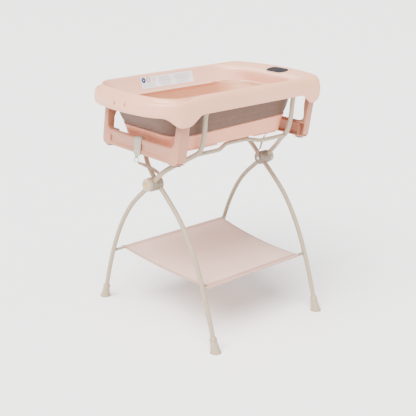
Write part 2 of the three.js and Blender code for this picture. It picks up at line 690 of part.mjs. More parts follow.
/** The plastic hook that grips the leg's cross bar: over the top, down the outside, an eye. */
function strapHook(depth) {
  const outside = -depth / 2 + 1 - GAP;
  const inside = -depth / 2 + LEG.barDepth;
  const top = LEG.barTop + GAP;
  const t = HOOK.thick;
  const section = new THREE.Shape();
  section.moveTo(outside, LEG.bottom - 4);
  section.lineTo(outside, LEG.barTop - 4.6);
  section.lineTo(outside + 3.6, top);
  section.lineTo(inside - LEG.bevel + 0.2, top);
  section.lineTo(inside - 3, LEG.barTop - LEG.bevel + 3.6);
  section.lineTo(inside - 0.4, LEG.barTop - LEG.bevel + 6.2);
  section.lineTo(inside - LEG.bevel + 1.8, top + t);
  section.lineTo(outside + 2, top + t);
  section.lineTo(outside - t, LEG.barTop - 2.6);
  section.lineTo(outside - t, LEG.bottom - 4);
  section.closePath();
  const geometry = new THREE.ExtrudeGeometry(section, { depth: HOOK.width, bevelEnabled: false });
  geometry.rotateX(Math.PI / 2);
  geometry.translate(0, HOOK.y + HOOK.width / 2, 0);
  const neck = block(outside - t, outside, HOOK.y - 8, HOOK.y + 8, LEG.bottom - 16, LEG.bottom - 3);
  const eye = drumX(3.6, 3.6, outside - t - 5, outside + 5, HOOK.y, LEG.bottom - 11.5, 10);
  return solid(geometry).add(neck).subtract(eye);
}

function strapRing(depth) {
  const geometry = new THREE.TorusGeometry(RING.r, RING.wire, 6, 16);
  const x = -depth / 2 + 1 - GAP - HOOK.thick / 2;
  geometry.rotateX(Math.PI / 2);
  geometry.translate(x, HOOK.y, LEG.bottom - 11.5 - RING.r);
  return solid(geometry);
}

/** The webbing from the ring over the hub to its inner face, as a flat band. */
function strap(ring, side) {
  const face = INNER_X.hub - HUB.thick / 2;
  const path = [
    ring,
    [THREE.MathUtils.lerp(ring[0], STAND_X + side * (face + 8), 0.5), (ring[1] + 650) / 2 + 3],
    [STAND_X + side * (face + 8), 648],
    [STAND_X + side * (face - 1), 640],
    [STAND_X + side * (face - 4), 630],
    [STAND_X + side * (face - 4), 616.5],
  ];
  const section = path.map(([x, z], i) => {
    const before = path[Math.max(0, i - 1)];
    const after = path[Math.min(path.length - 1, i + 1)];
    const along = new THREE.Vector2(after[0] - before[0], after[1] - before[1]).normalize();
    const nx = (-along.y * STRAP.thick) / 2;
    const nz = (along.x * STRAP.thick) / 2;
    const y = THREE.MathUtils.lerp(HOOK.y, 0, i / (path.length - 1));
    const w = STRAP.width / 2;
    return [
      new THREE.Vector3(x + nx, y - w, z + nz), new THREE.Vector3(x - nx, y - w, z - nz),
      new THREE.Vector3(x - nx, y + w, z - nz), new THREE.Vector3(x + nx, y + w, z + nz),
    ];
  });
  return loft(section, false);
}

// ---------------------------------------------------------------- details on the rim
function displayFrame() {
  const { length, width, frame } = DISPLAY;
  const ring = plate(stadium(length, width), -9, 6.6)
    .subtract(plate(stadium(length - 2 * frame, width - 2 * frame), 1, 20))
    .subtract(plate(stadium(length - 6 * frame, width - 6 * frame), -20, 20));
  return onDeck(ring);
}

function displayLens() {
  const { length, width, frame } = DISPLAY;
  return onDeck(plate(stadium(length - 2 * frame, width - 2 * frame, -GAP), 1 + GAP, 5.8));
}

/** The sticker on the far inner face of the rim, which follows that face's slope. */
function label() {
  const { x0, x1, z0, z1, thick } = LABEL;
  const faceY = (z) => 208 + ((z - STEP_Z) * (224 - 208)) / (952 - STEP_Z);
  const upperY = (z) => 224 + ((z - 952) * (235.5 - 224)) / (981 - 952);
  const y = (z) => (z < 952 ? faceY(z) : upperY(z)) - GAP;
  const rows = [z0, 952, z1];
  const section = new THREE.Shape([
    ...rows.map((z) => new THREE.Vector2(y(z), z)),
    ...rows.slice().reverse().map((z) => new THREE.Vector2(y(z) - thick, z)),
  ]);
  const geometry = new THREE.ExtrudeGeometry(section, { depth: x1 - x0, bevelEnabled: false });
  geometry.applyMatrix4(new THREE.Matrix4().makeBasis(
    new THREE.Vector3(0, 1, 0), new THREE.Vector3(0, 0, 1), new THREE.Vector3(1, 0, 0),
  ));
  geometry.translate(x0, 0, 0);
  return solid(geometry);
}

/** A block under the rim that sits on a top rail. */
function saddle(x, side) {
  const y0 = side * (RAIL_Y - 0.5);
  const y1 = side * (RAIL_Y + 7.5);
  const over = block(x - 16, x + 16, Math.min(y0, y1), Math.max(y0, y1), RAIL_Z + 4, 977);
  const rail = drumX(TUBE_R + GAP, TUBE_R + GAP, x - 20, x + 20, side * RAIL_Y, RAIL_Z, 24);
  return over.subtract(rail);
}

// ---------------------------------------------------------------- shelf sling
function shelfSling() {
  const z = ROD_Z + ROD_R + 0.6;
  const { farLeft, farRight, nearLeft, nearRight, y, thick } = SHELF;
  const shape = new THREE.Shape();
  shape.moveTo(nearLeft, -y);
  shape.lineTo(nearRight, -y);
  shape.lineTo(farRight, y);
  shape.lineTo(farLeft, y);
  shape.closePath();
  return plate(shape, z, z + thick);
}

// ---------------------------------------------------------------- assembly
const assembly = new THREE.Group();

function add(name, body, material) {
  const mesh = new THREE.Mesh(geometryOf(body), material);
  mesh.name = name;
  assembly.add(mesh);
}

for (const [frameName, frame] of Object.entries(FRAMES)) {
  const swollen = Object.values(SIDES).map((side) => swollenSideTube(frame, side));
  Object.entries(SIDES).forEach(([sideName, side], i) => {
    add(`${frameName}_frame_tube_${sideName}`, sideTube(frame, side), paintedTube());
    add(`${frameName}_frame_boot_${sideName}`, boot(frame, side, swollen[i]), hubPlastic());
    add(`hub_${frameName}_half_${sideName}`, hubHalf(frame.width, side, swollen[i]), hubPlastic());
  });
  add(`${frameName}_frame_top_rail`, topRail(frame), paintedTube());
  add(`${frameName}_frame_cross_bar`, crossBar(frame, swollen), paintedTube());
  add(`${frameName}_frame_shelf_rod`, shelfRod(frame, swollen), paintedTube());
}

for (const [sideName, side] of Object.entries(SIDES)) {
  add(`hub_cap_${sideName}`, hubCap(side), ivory());
  add(`hub_badge_${sideName}`, hubBadge(side), gold());
  add(`hub_pivot_bolt_${sideName}`, pivotBolt(side), steel());
  add(`hub_washer_${sideName}`, frictionWasher(side), greyPlastic());
}

add('shelf_sling', shelfSling(), shelfFabric());

add('bath_rim', rim(), pinkShell());
add('bath_fold_wall', foldWall(), softWall());
add('bath_basin', basin(), pinkShell());
add('drain_seat', drainSeat(), greyPlastic());
add('drain_plug', drainPlug(), ivory());
add('display_frame', displayFrame(), pinkShell());
add('display_lens', displayLens(), darkGlass());
add('care_label', label(), paper());

for (const [sideName, side] of Object.entries(SIDES)) {
  const x = STAND_X + side * 120;
  add(`rim_saddle_near_${sideName}`, saddle(x, -1), pinkShell());
  add(`rim_saddle_far_${sideName}`, saddle(x, 1), pinkShell());
}

for (const [sideName, leg] of Object.entries({ left: LEFT_LEG, right: RIGHT_LEG })) {
  const side = SIDES[sideName];
  const mirrored = side > 0;
  const { depth } = leg;
  add(`bath_leg_${sideName}`, atLeg(legShell(depth), leg, mirrored), pinkShell());
  add(`leg_pad_${sideName}_near`, atLeg(legPad(-1, depth), leg, mirrored), greyRubber());
  add(`leg_pad_${sideName}_far`, atLeg(legPad(1, depth), leg, mirrored), greyRubber());
  add(`leg_pin_${sideName}_near`, hingePin(leg, -1), steel());
  add(`leg_pin_${sideName}_far`, hingePin(leg, 1), steel());
  add(`strap_hook_${sideName}`, atLeg(strapHook(depth), leg, mirrored), greyPlastic());
  add(`strap_ring_${sideName}`, atLeg(strapRing(depth), leg, mirrored), steel());
  add(`safety_strap_${sideName}`, strap(STRAP_TOP[sideName], side), strapWeb());
}

export default assembly;
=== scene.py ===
"""The looks of the folding baby bath and its stand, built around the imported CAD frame."""
import math
import random

import bmesh
import bpy
import numpy as np
from mathutils import Matrix, Vector


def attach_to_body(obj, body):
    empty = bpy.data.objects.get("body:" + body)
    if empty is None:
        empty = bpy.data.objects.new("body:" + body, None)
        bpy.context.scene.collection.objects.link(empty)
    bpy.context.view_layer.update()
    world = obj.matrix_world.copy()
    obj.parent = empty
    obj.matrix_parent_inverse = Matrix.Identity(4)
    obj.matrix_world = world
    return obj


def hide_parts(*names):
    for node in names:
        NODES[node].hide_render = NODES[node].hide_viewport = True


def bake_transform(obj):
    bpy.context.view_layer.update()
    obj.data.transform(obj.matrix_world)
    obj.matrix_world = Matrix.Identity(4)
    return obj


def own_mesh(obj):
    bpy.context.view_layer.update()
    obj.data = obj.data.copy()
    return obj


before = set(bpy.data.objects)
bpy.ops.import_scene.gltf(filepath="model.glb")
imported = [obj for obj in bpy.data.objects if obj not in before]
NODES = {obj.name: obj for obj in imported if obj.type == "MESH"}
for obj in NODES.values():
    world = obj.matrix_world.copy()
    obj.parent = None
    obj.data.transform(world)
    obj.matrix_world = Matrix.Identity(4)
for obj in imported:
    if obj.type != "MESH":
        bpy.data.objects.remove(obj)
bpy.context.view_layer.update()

MM = 0.001
TAU = 2 * math.pi

# ------------------------------------------------------------------ sizes, in millimetres
STAND_X = 24
TUBE_R = 9.5
BAR_R = 8
ROD_R = 6
HUB_Z = 605
OUTER_X = {"foot": 319.6, "hub": 309, "rail": 230}
INNER_X = {"foot": 285.6, "hub": 284, "rail": 215}
RAIL_Y, RAIL_Z, RAIL_BEND = 241, 945, 42
# how far inside, short of and below the rail each point of its corner lies
RAIL_CORNER = [(1, 6, 26), (7, 1, 7), (24, 0, 0), (RAIL_BEND, 0, 0)]
BAR_Y, BAR_Z = 190, 752
BAR_JOG = {"out": 105, "in": 60, "shoulder": 12, "inward": 24, "up": 10, "middle": -15}
ROD_Y, ROD_Z = 277.4, 241
# one side of a frame seen along X: distance from the pivot plane, height
LEG_PROFILE = [
    (353, 11), (332, 84), (296, 195), (235, 345), (152, 475), (72, 548), (34, 580),
]
UPRIGHT_PROFILE = [
    (30, 634), (62, 664), (95, 690), (165, 738), (199, 762), (216, 797), (227, 850), (231, 898),
]
# a side tube moves inwards between these heights below its hub, and these distances above it
NARROWING = {"below_hub": (200, 560), "above_hub": (38, 215)}
# radius, and height along the leg above the floor
BOOT_PROFILE = [
    (0, -24), (22.6, -24), (21.4, -6), (21, 2), (19.4, 9), (17.2, 22), (15.2, 38), (14.2, 46),
    (14.2, 47.2), (15.3, 48.2), (15.5, 50), (15.4, 54.4), (15.0, 55.6), (14.0, 56.2), (13.4, 59),
    (12.6, 61.4), (11.6, 62.2), (9.7, 62.2),
]
HUB_THICK = 24.5
FRAMES = {"outer": (OUTER_X, 1), "inner": (INNER_X, -1)}
SIDES = {"left": -1, "right": 1}

BATH_X = -10
RIM_TOP, SKIRT_Z, STEP_Z, LOBE_DROP = 990, 922, 921, 38
# where each end's lobes begin, are full, start to rise and end, from BATH_X outwards
LOBES = {-1: (232, 286, 330, 380), 1: (296, 340, 366, 414)}
LOBE_ACROSS = (150, 225)
LEFT_STEP = (-190, -340)
RIM = {"left": 435, "right": 455, "half": 262, "left_corner": 108, "right_corner": 30, "bow": 49}
# the foot of the soft wall rises this much per millimetre towards +X
LEAN = 0.025
WALL_BOTTOM, BASIN_BOTTOM = 838, 775
DISPLAY = {"x": 382, "y": -14, "z": 983.5, "tilt": math.radians(11), "length": 116, "width": 62}
DISH = {"depth": 13.5, "from": 240, "full": 325}
SLOTS = {"x": (-460, -395), "yz": [((5, 14), (944, 958)), ((-62, -49), (947, 959))]}
WALL_THICK = 2.6
RIBS = {"x": ((-238, -92), (101, 226)), "y": (171, 181.5), "drop": 5, "edge": 2.4}
STRAP = {"tops": {"left": (-348, 704.5), "right": (332, 700)}, "width": 14, "thick": 1.6,
         "twist": math.radians(78)}
LABEL = {"x0": -160, "x1": 110, "z0": 934, "z1": 978}
RIM_WALL = {"z": (STEP_Z, 952, 981), "y": (208, 224, 235.5)}
LABEL_DISCS = {"z": 966.5, "radius": 10.6, "blue_x": -137, "red_x": -113}
LABEL_LINES = {"thick": 1.7, "pitch": 4.1, "shortest": 0.72}
# left, right, first line and where the lines stop
LABEL_BLOCKS = [(-106, -78, 973, 958), (-154, -80, 953, 939), (-70, 4, 973, 939), (14, 102, 973, 939)]
SHELF = {"far": (-246, 329), "near": (-244, 264), "lift": 1.2, "bow": 2, "deepest": 16, "quick_sag": 3,
         "tuck": 3.4, "tuck_from": (9, 17), "hem": 14, "seam": 16}
SHELF_COLUMNS, SHELF_ROWS = 56, 60
CLOTH_FRAMES = 30
HEM_THICK = 0.9

# ------------------------------------------------------------------ view and light, in metres and radians
CAMERA = {"place": (-2.1496, -2.516, 1.600), "yaw": -0.708, "pitch": 0.337, "lens": 72.0, "sensor": 36,
          "reach": 50}
SUNS = {
    "key": {"place": (-2.0, -0.7, 3.8), "strength": 11.0, "spread": 0.9, "colour": (1, 0.985, 0.96)},
    "fill": {"place": (1.5, -3.0, 1.6), "strength": 0.7, "spread": 1.2, "colour": (0.98, 0.99, 1)},
}
FLOOR_HALF = 60

# ------------------------------------------------------------------ surface textures, in metres
NOISE_SPAN = (0.3, 0.7)
NOISE_ROUGHNESS = 0.55
DRIFT_SCALE, GLOSS_SCALE, WAVE_SCALE, WAVE_DEPTH = 7, 38, 24, 0.00035
COAT_ROUGHNESS = 0.12
SKIN_DEPTHS = (0.006, 0.003, 0.002)
YARN = {"wobble": 0.0006, "wobble_scale": 60, "fuzz_scale": 420, "drift_scale": 9, "roughness": 0.85,
        "sheen": 0.25, "sheen_roughness": 0.5}
SCRATCH = {"scale": (40, 900, 900), "drift_scale": 30, "depth": 0.00003}


# ------------------------------------------------------------------ camera, light and floor
def camera():
    yaw, pitch = CAMERA["yaw"], CAMERA["pitch"]
    back = Vector((math.sin(yaw) * math.cos(pitch), -math.cos(yaw) * math.cos(pitch), math.sin(pitch)))
    right = Vector((math.cos(yaw), math.sin(yaw), 0))
    up = back.cross(right)
    data = bpy.data.cameras.new("camera")
    data.lens = CAMERA["lens"]
    data.sensor_width = CAMERA["sensor"]
    data.clip_end = CAMERA["reach"]
    obj = bpy.data.objects.new("camera", data)
    bpy.context.scene.collection.objects.link(obj)
    turn = Matrix((right, up, back)).transposed().to_4x4()
    obj.matrix_world = Matrix.Translation(CAMERA["place"]) @ turn
    bpy.context.scene.camera = obj


def sun(name, place, strength, spread, colour):
    """A distant soft light that shines from place towards the origin."""
    data = bpy.data.lights.new(name, "SUN")
    data.energy = strength
    data.angle = spread
    data.color = colour
    obj = bpy.data.objects.new(name, data)
    bpy.context.scene.collection.objects.link(obj)
    obj.location = place
    obj.rotation_euler = (-Vector(place)).to_track_quat("-Z", "Y").to_euler()


def studio():
    world = bpy.data.worlds.new("studio")
    bpy.context.scene.world = world
    world.use_nodes = True
    background = world.node_tree.nodes["Background"]
    background.inputs["Color"].default_value = (1, 1, 1, 1)
    background.inputs["Strength"].default_value = 1.0
    for name, settings in SUNS.items():
        sun(name, **settings)
    corners = [(FLOOR_HALF * x, FLOOR_HALF * y, 0) for x, y in ((-1, -1), (1, -1), (1, 1), (-1, 1))]
    floor = mesh_object("floor", corners, [(0, 1, 2, 3)], STUDIO_FLOOR)


# ------------------------------------------------------------------ materials
class Nodes:
    """A small writer of shader node trees around one Principled shader."""

    def __init__(self, name):
        self.material = bpy.data.materials.new(name)
        self.material.use_nodes = True
        self.tree = self.material.node_tree
        self.shader = self.tree.nodes["Principled BSDF"]

    def add(self, kind, **settings):
        node = self.tree.nodes.new(kind)
        for key, value in settings.items():
            if key in node.inputs:
                node.inputs[key].default_value = value
            else:
                setattr(node, key, value)
        return node

    def link(self, source, target):
        self.tree.links.new(source, target)

    def place(self):
        return self.add("ShaderNodeTexCoord").outputs["Object"]

    def noise(self, place, scale, detail):
        node = self.add("ShaderNodeTexNoise", Scale=scale, Detail=detail, Roughness=NOISE_ROUGHNESS)
        self.link(place, node.inputs["Vector"])
        return node.outputs["Fac"]

    def ramp(self, value, low, high, span=(0.35, 0.65)):
        node = self.add("ShaderNodeValToRGB")
        node.color_ramp.elements[0].position = span[0]
        node.color_ramp.elements[1].position = span[1]
        node.color_ramp.elements[0].color = (*low, 1)
        node.color_ramp.elements[1].color = (*high, 1)
        self.link(value, node.inputs["Fac"])
        return node.outputs["Color"]

    def spread(self, value, low, high):
        node = self.add("ShaderNodeMapRange")
        node.inputs["From Min"].default_value = NOISE_SPAN[0]
        node.inputs["From Max"].default_value = NOISE_SPAN[1]
        node.inputs["To Min"].default_value = low
        node.inputs["To Max"].default_value = high
        self.link(value, node.inputs["Value"])
        return node.outputs["Result"]

    def maths(self, operation, a, b=None):
        node = self.add("ShaderNodeMath", operation=operation)
        for socket, value in zip(node.inputs, (a, b)):
            if value is None:
                continue
            if isinstance(value, (int, float)):
                socket.default_value = value
            else:
                self.link(value, socket)
        return node.outputs[0]

    def bump(self, height, depth, strength=1.0, under=None):
        node = self.add("ShaderNodeBump", Strength=strength, Distance=depth)
        self.link(height, node.inputs["Height"])
        if under is not None:
            self.link(under, node.inputs["Normal"])
        return node.outputs["Normal"]


def shade(colour, amount):
    """The colour made darker or lighter."""
    return tuple(min(1, max(0, c * amount)) for c in colour)


def linear(r, g, b):
    """An sRGB colour, 0 to 255, as linear values."""
    return tuple((c / 255 / 12.92) if c <= 10 else ((c / 255 + 0.055) / 1.055) ** 2.4 for c in (r, g, b))


def moulded(name, colour, roughness, *, tint=0.05, grain=700, depth=0.00006, coat=0.0, metal=0.0,
            soft=0.0, ior=1.48):
    """Moulded or painted surface: slow colour drift, fine grain and uneven gloss."""
    n = Nodes(name)
    place = n.place()
    drift = n.noise(place, DRIFT_SCALE, 4)
    n.link(n.ramp(drift, shade(colour, 1 - tint), shade(colour, 1 + tint)), n.shader.inputs["Base Color"])
    gloss = n.noise(place, GLOSS_SCALE, 5)
    n.link(n.spread(gloss, roughness - 0.05, roughness + 0.06), n.shader.inputs["Roughness"])
    fine = n.bump(n.noise(place, grain, 2), depth)
    wave = n.noise(place, WAVE_SCALE, 2)
    n.link(n.bump(wave, WAVE_DEPTH, 0.5, under=fine), n.shader.inputs["Normal"])
    n.shader.inputs["Metallic"].default_value = metal
    n.shader.inputs["IOR"].default_value = ior
    n.shader.inputs["Coat Weight"].default_value = coat
    n.shader.inputs["Coat Roughness"].default_value = COAT_ROUGHNESS
    n.shader.inputs["Subsurface Weight"].default_value = soft
    n.shader.inputs["Subsurface Radius"].default_value = SKIN_DEPTHS
    n.shader.inputs["Subsurface Scale"].default_value = 1.0
    return n.material


def woven(name, colour, pitch, *, axes=("X", "Y"), depth=0.00018):
    """Plain weave in two axes of the piece, with uneven yarns."""
    n = Nodes(name)
    place = n.place()
    split = n.add("ShaderNodeSeparateXYZ")
    n.link(place, split.inputs["Vector"])
    wobble = n.maths("MULTIPLY", n.noise(place, YARN["wobble_scale"], 2), YARN["wobble"])
    shifted = [n.maths("ADD", split.outputs[axis], wobble) for axis in axes]
    waves = [n.maths("SINE", n.maths("MULTIPLY", along, TAU / pitch)) for along in shifted]
    cross = n.maths("MULTIPLY", *waves)
    fuzz = n.noise(place, YARN["fuzz_scale"], 2)
    height = n.maths("ADD", n.maths("MULTIPLY", cross, 0.5), fuzz)
    slow = n.maths("MULTIPLY", n.noise(place, YARN["drift_scale"], 4), 0.7)
    drift = n.maths("ADD", slow, n.maths("MULTIPLY", height, 0.2))
    n.link(n.ramp(drift, shade(colour, 0.93), shade(colour, 1.06), (0.25, 0.75)),
           n.shader.inputs["Base Color"])
    n.shader.inputs["Roughness"].default_value = YARN["roughness"]
    n.shader.inputs["Sheen Weight"].default_value = YARN["sheen"]
    n.shader.inputs["Sheen Roughness"].default_value = YARN["sheen_roughness"]
    n.link(n.bump(height, depth), n.shader.inputs["Normal"])
    return n.material


def brushed(name, colour, roughness):
    """Bare metal with fine lengthwise scratches."""
    n = Nodes(name)
    place = n.place()
    stretch = n.add("ShaderNodeMapping")
    stretch.inputs["Scale"].default_value = SCRATCH["scale"]
    n.link(place, stretch.inputs["Vector"])
    scratch = n.noise(stretch.outputs["Vector"], 1, 3)
    drift = n.noise(place, SCRATCH["drift_scale"], 3)
    n.link(n.ramp(drift, shade(colour, 0.92), shade(colour, 1.05)), n.shader.inputs["Base Color"])
    n.link(n.spread(scratch, roughness - 0.08, roughness + 0.1), n.shader.inputs["Roughness"])
    n.link(n.bump(scratch, SCRATCH["depth"]), n.shader.inputs["Normal"])
    n.shader.inputs["Metallic"].default_value = 1.0
    return n.material


SHELL = moulded("blush_shell", linear(223, 164, 133), 0.36, tint=0.025, coat=0.12, soft=0.06)
# a lighter copy of the shell pink: painted light on the rim's inner face and the display bezel
SHELL_PAINTED_LIGHT = moulded("blush_shell_painted_light", linear(230, 180, 154), 0.38, tint=0.025, soft=0.06)
BASIN = moulded("blush_basin", linear(227, 150, 118), 0.36, tint=0.03, coat=0.1, soft=0.06)
# the shell pink darkened: painted shade of the tub's shadow on its legs
LEG_PAINTED_SHADE = moulded("blush_leg_painted_shade", linear(180, 123, 99), 0.42, tint=0.03, coat=0.05)
# one soft wall in two copies: its outside darkened as painted shade under the rim, its inside lightened as
# painted light
SOFT_WALL_PAINTED_SHADE = moulded("soft_wall_painted_shade", linear(98, 69, 55), 0.6, tint=0.04, grain=900, depth=0.00008)
SOFT_WALL_PAINTED_LIGHT = moulded("soft_wall_painted_light", linear(192, 142, 111), 0.55, tint=0.04, grain=900, depth=0.00008)
TUBE = moulded("greige_powder_coat", linear(159, 142, 120), 0.42, tint=0.03, grain=1200, depth=0.00005,
               coat=0.1)
HUB = moulded("greige_plastic", linear(136, 122, 104), 0.5, tint=0.03, grain=900)
IVORY = moulded("ivory_plastic", linear(174, 158, 134), 0.4, tint=0.02)
GOLD = moulded("gold_trim", linear(214, 172, 96), 0.3, tint=0.04, metal=1.0)
HOOK = moulded("grey_hook", linear(166, 158, 144), 0.45, tint=0.03)
RUBBER = moulded("grey_rubber", linear(112, 108, 104), 0.75, tint=0.06, grain=500, depth=0.0001)
GLASS = moulded("display_window", linear(40, 38, 41), 0.4, tint=0.05, grain=300, depth=0.00001, ior=1.15)
STEEL = brushed("zinc_steel", (0.5, 0.5, 0.51), 0.3)
FABRIC = woven("shelf_weave", linear(214, 178, 162), 0.0016)
HEM = woven("shelf_hem", linear(190, 152, 136), 0.0014, depth=0.00014)
WEB = woven("strap_web", linear(158, 134, 116), 0.0018, axes=("Y", "Z"), depth=0.0003)
PAPER = moulded("sticker_film", linear(232, 229, 232), 0.35, tint=0.01, depth=0.00001)
INK_GREY = moulded("ink_grey", linear(186, 184, 190), 0.5, tint=0.02, depth=0.00001)
INK_BLUE = moulded("ink_blue", linear(10, 52, 118), 0.45, tint=0.02, depth=0.00001)
INK_RED = moulded("ink_red", linear(186, 40, 34), 0.45, tint=0.02, depth=0.00001)
DARK = moulded("dark_moulding", linear(92, 74, 68), 0.6)
STUDIO_FLOOR = moulded("studio_floor", (0.9, 0.9, 0.9), 0.6, tint=0.004, depth=0.00002)


# ------------------------------------------------------------------ mesh tools
def mesh_object(name, vertices, faces, material, smooth=True):
    mesh = bpy.data.meshes.new(name)
    mesh.from_pydata([tuple(v) for v in vertices], [], faces)
    mesh.validate()
    obj = bpy.data.objects.new(name, mesh)
    bpy.context.scene.collection.objects.link(obj)
    for one in material if isinstance(material, (list, tuple)) else [material]:
        mesh.materials.append(one)
    mesh.polygons.foreach_set("use_smooth", [smooth] * len(mesh.polygons))
    outward(mesh)
    return obj


def outward(mesh):
    """Merges double points and turns every face outwards."""
    bm = bmesh.new()
    bm.from_mesh(mesh)
    bmesh.ops.remove_doubles(bm, verts=bm.verts, dist=1e-7)
    bmesh.ops.recalc_face_normals(bm, faces=bm.faces)
    bm.to_mesh(mesh)
    bm.free()


def apply_modifiers(obj):
    evaluated = obj.evaluated_get(bpy.context.evaluated_depsgraph_get())
    mesh = bpy.data.meshes.new_from_object(evaluated)
    obj.modifiers.clear()
    obj.data = mesh
    return obj


def subdivide(obj):
    modifier = obj.modifiers.new("subdivide", "SUBSURF")
    modifier.levels = modifier.render_levels = 1
    return apply_modifiers(obj)


def loft(name, rings, material, *, closed=False, capped=True, bands=None):
    """Skins rings of points, in millimetres. closed joins the last ring to the first, and bands gives a
    material per strip."""
    n = len(rings[0])
    vertices = [Vector(p) * MM for ring in rings for p in ring]
    faces = []
    strips = len(rings) if closed else len(rings) - 1
    for i in range(strips):
        a, b = i * n, ((i + 1) % len(rings)) * n
        faces += [(a + j, a + (j + 1) % n, b + (j + 1) % n, b + j) for j in range(n)]
    if not closed and capped:
        faces += [tuple(range(n))[::-1], tuple(range((len(rings) - 1) * n, len(rings) * n))]
    obj = mesh_object(name, vertices, faces, material)
    if bands:
        for i, polygon in enumerate(obj.data.polygons):
            if i < strips * n:
                polygon.material_index = bands[i // n]
    return obj


def catmull(points, per):
    """A centripetal Catmull-Rom curve through the points, as an array with per points a stretch."""
    p = [np.array(q, float) for q in points]
    p = [2 * p[0] - p[1], *p, 2 * p[-1] - p[-2]]
    out = []
    for i in range(1, len(p) - 2):
        a, b, c, d = p[i - 1:i + 3]
        t0 = 0
        t1 = t0 + np.linalg.norm(b - a) ** 0.5
        t2 = t1 + np.linalg.norm(c - b) ** 0.5
        t3 = t2 + np.linalg.norm(d - c) ** 0.5
        for k in range(per):
            t = t1 + (t2 - t1) * k / per
            ab = (t1 - t) / (t1 - t0) * a + (t - t0) / (t1 - t0) * b
            bc = (t2 - t) / (t2 - t1) * b + (t - t1) / (t2 - t1) * c
            cd = (t3 - t) / (t3 - t2) * c + (t - t2) / (t3 - t2) * d
            abc = (t2 - t) / (t2 - t0) * ab + (t - t0) / (t2 - t0) * bc
            bcd = (t3 - t) / (t3 - t1) * bc + (t - t1) / (t3 - t1) * cd
            out.append((t2 - t) / (t2 - t1) * abc + (t - t1) / (t2 - t1) * bcd)
    out.append(p[-2])
    return np.array(out)


def eased(path, rounds=6):
    """The path with its kinks smoothed and its ends kept."""
    path = path.copy()
    for _ in range(rounds):
        path[1:-1] = path[1:-1] * 0.5 + (path[:-2] + path[2:]) * 0.25
    return path


def tube(name, path, r, material, sides=24):
    """A round bar along a path."""
    rings = []
    direction = Vector(path[1] - path[0]).normalized()
    normal = direction.orthogonal().normalized()
    for i, centre in enumerate(path):
        ahead = Vector(path[min(i + 1, len(path) - 1)] - path[max(i - 1, 0)]).normalized()
        normal = (normal - ahead * normal.dot(ahead)).normalized()
        side = ahead.cross(normal)
        rings.append([
            Vector(centre) + (normal * math.cos(TAU * j / sides) + side * math.sin(TAU * j / sides)) * r
            for j in range(sides)
        ])
    return loft(name, rings, material)


def lathe(name, profile, material, origin, axis, sides):
    """Turns (radius, height) points about an axis through origin."""
    turn = Vector((0, 0, 1)).rotation_difference(Vector(axis)).to_matrix()
    rings = [
        [Vector(origin) + turn @ Vector((r * math.cos(TAU * j / sides), r * math.sin(TAU * j / sides), h))
         for j in range(sides)]
        for r, h in profile
    ]
    return loft(name, rings, material)


def join(name, objects):
    for obj in objects:
        obj.select_set(False)
    with bpy.context.temp_override(active_object=objects[0], selected_editable_objects=objects):
        bpy.ops.object.join()
    objects[0].name = name
    objects[0].data.name = name
    return objects[0]


def smoothstep(a, b, t):
    s = min(1, max(0, (t - a) / (b - a)))
    return s * s * (3 - 2 * s)


def soften(node, material, width, segments=2, angle=35):
    """A CAD node with its own material, welded, with its sharp edges rounded."""
    obj = NODES[node]
    obj.data.materials.clear()
    obj.data.materials.append(material)
    weld = obj.modifiers.new("weld", "WELD")
    weld.merge_threshold = 2e-5
    if width:
        bevel = obj.modifiers.new("bevel", "BEVEL")
        bevel.width = width * MM
        bevel.segments = segments
        bevel.limit_method = "ANGLE"
        bevel.angle_limit = math.radians(angle)
    obj.data.polygons.foreach_set("use_smooth", [True] * len(obj.data.polygons))
    obj.data.set_sharp_from_angle(angle=math.radians(50))
    return obj


# ------------------------------------------------------------------ stand
def side_tube_path(width, side, leg_side):
    """Up a leg on one side of the stand, through its hub, and over to the rail on the other side."""
    def x(d):
        return STAND_X + side * d

    def lower(z):
        return width["foot"] + (width["hub"] - width["foot"]) * smoothstep(*NARROWING["below_hub"], z)

    def upper(d):
        return width["hub"] + (width["rail"] - width["hub"]) * smoothstep(*NARROWING["above_hub"], d)

    return [
        *[(x(lower(z)), leg_side * d, z) for d, z in LEG_PROFILE],
        (x(width["hub"]), 0, HUB_Z),
        *[(x(upper(d)), -leg_side * d, z) for d, z in UPRIGHT_PROFILE],
        *[(x(width["rail"] - inset), -leg_side * (RAIL_Y - short), RAIL_Z - drop)
          for inset, short, drop in RAIL_CORNER],
    ]


def cross_bar_path(width, leg_side):
    """A cross bar whose middle jogs in and up, away from the basin's ribs."""
    side = -leg_side
    end = width["rail"] + 2
    mid = STAND_X + BAR_JOG["middle"]
    y0, y1 = side * BAR_Y, side * (BAR_Y - BAR_JOG["inward"])
    z1 = BAR_Z + BAR_JOG["up"]
    far, near, shoulder = BAR_JOG["out"], BAR_JOG["in"], BAR_JOG["shoulder"]
    half = [
        (far + shoulder, y0, BAR_Z), (far, y0 - side * 2, BAR_Z + 1), (near, y1 + side * 2, z1 - 1),
        (near - shoulder, y1, z1),
    ]
    return [
        (STAND_X - end, y0, BAR_Z), *[(mid - d, y, z) for d, y, z in half],
        *[(mid + d, y, z) for d, y, z in reversed(half)], (STAND_X + end, y0, BAR_Z),
    ]


def level_path(reach, y, z):
    """A straight line along X, reaching as far on both sides of the stand's middle."""
    return np.linspace((STAND_X - reach, y, z), (STAND_X + reach, y, z), 5)


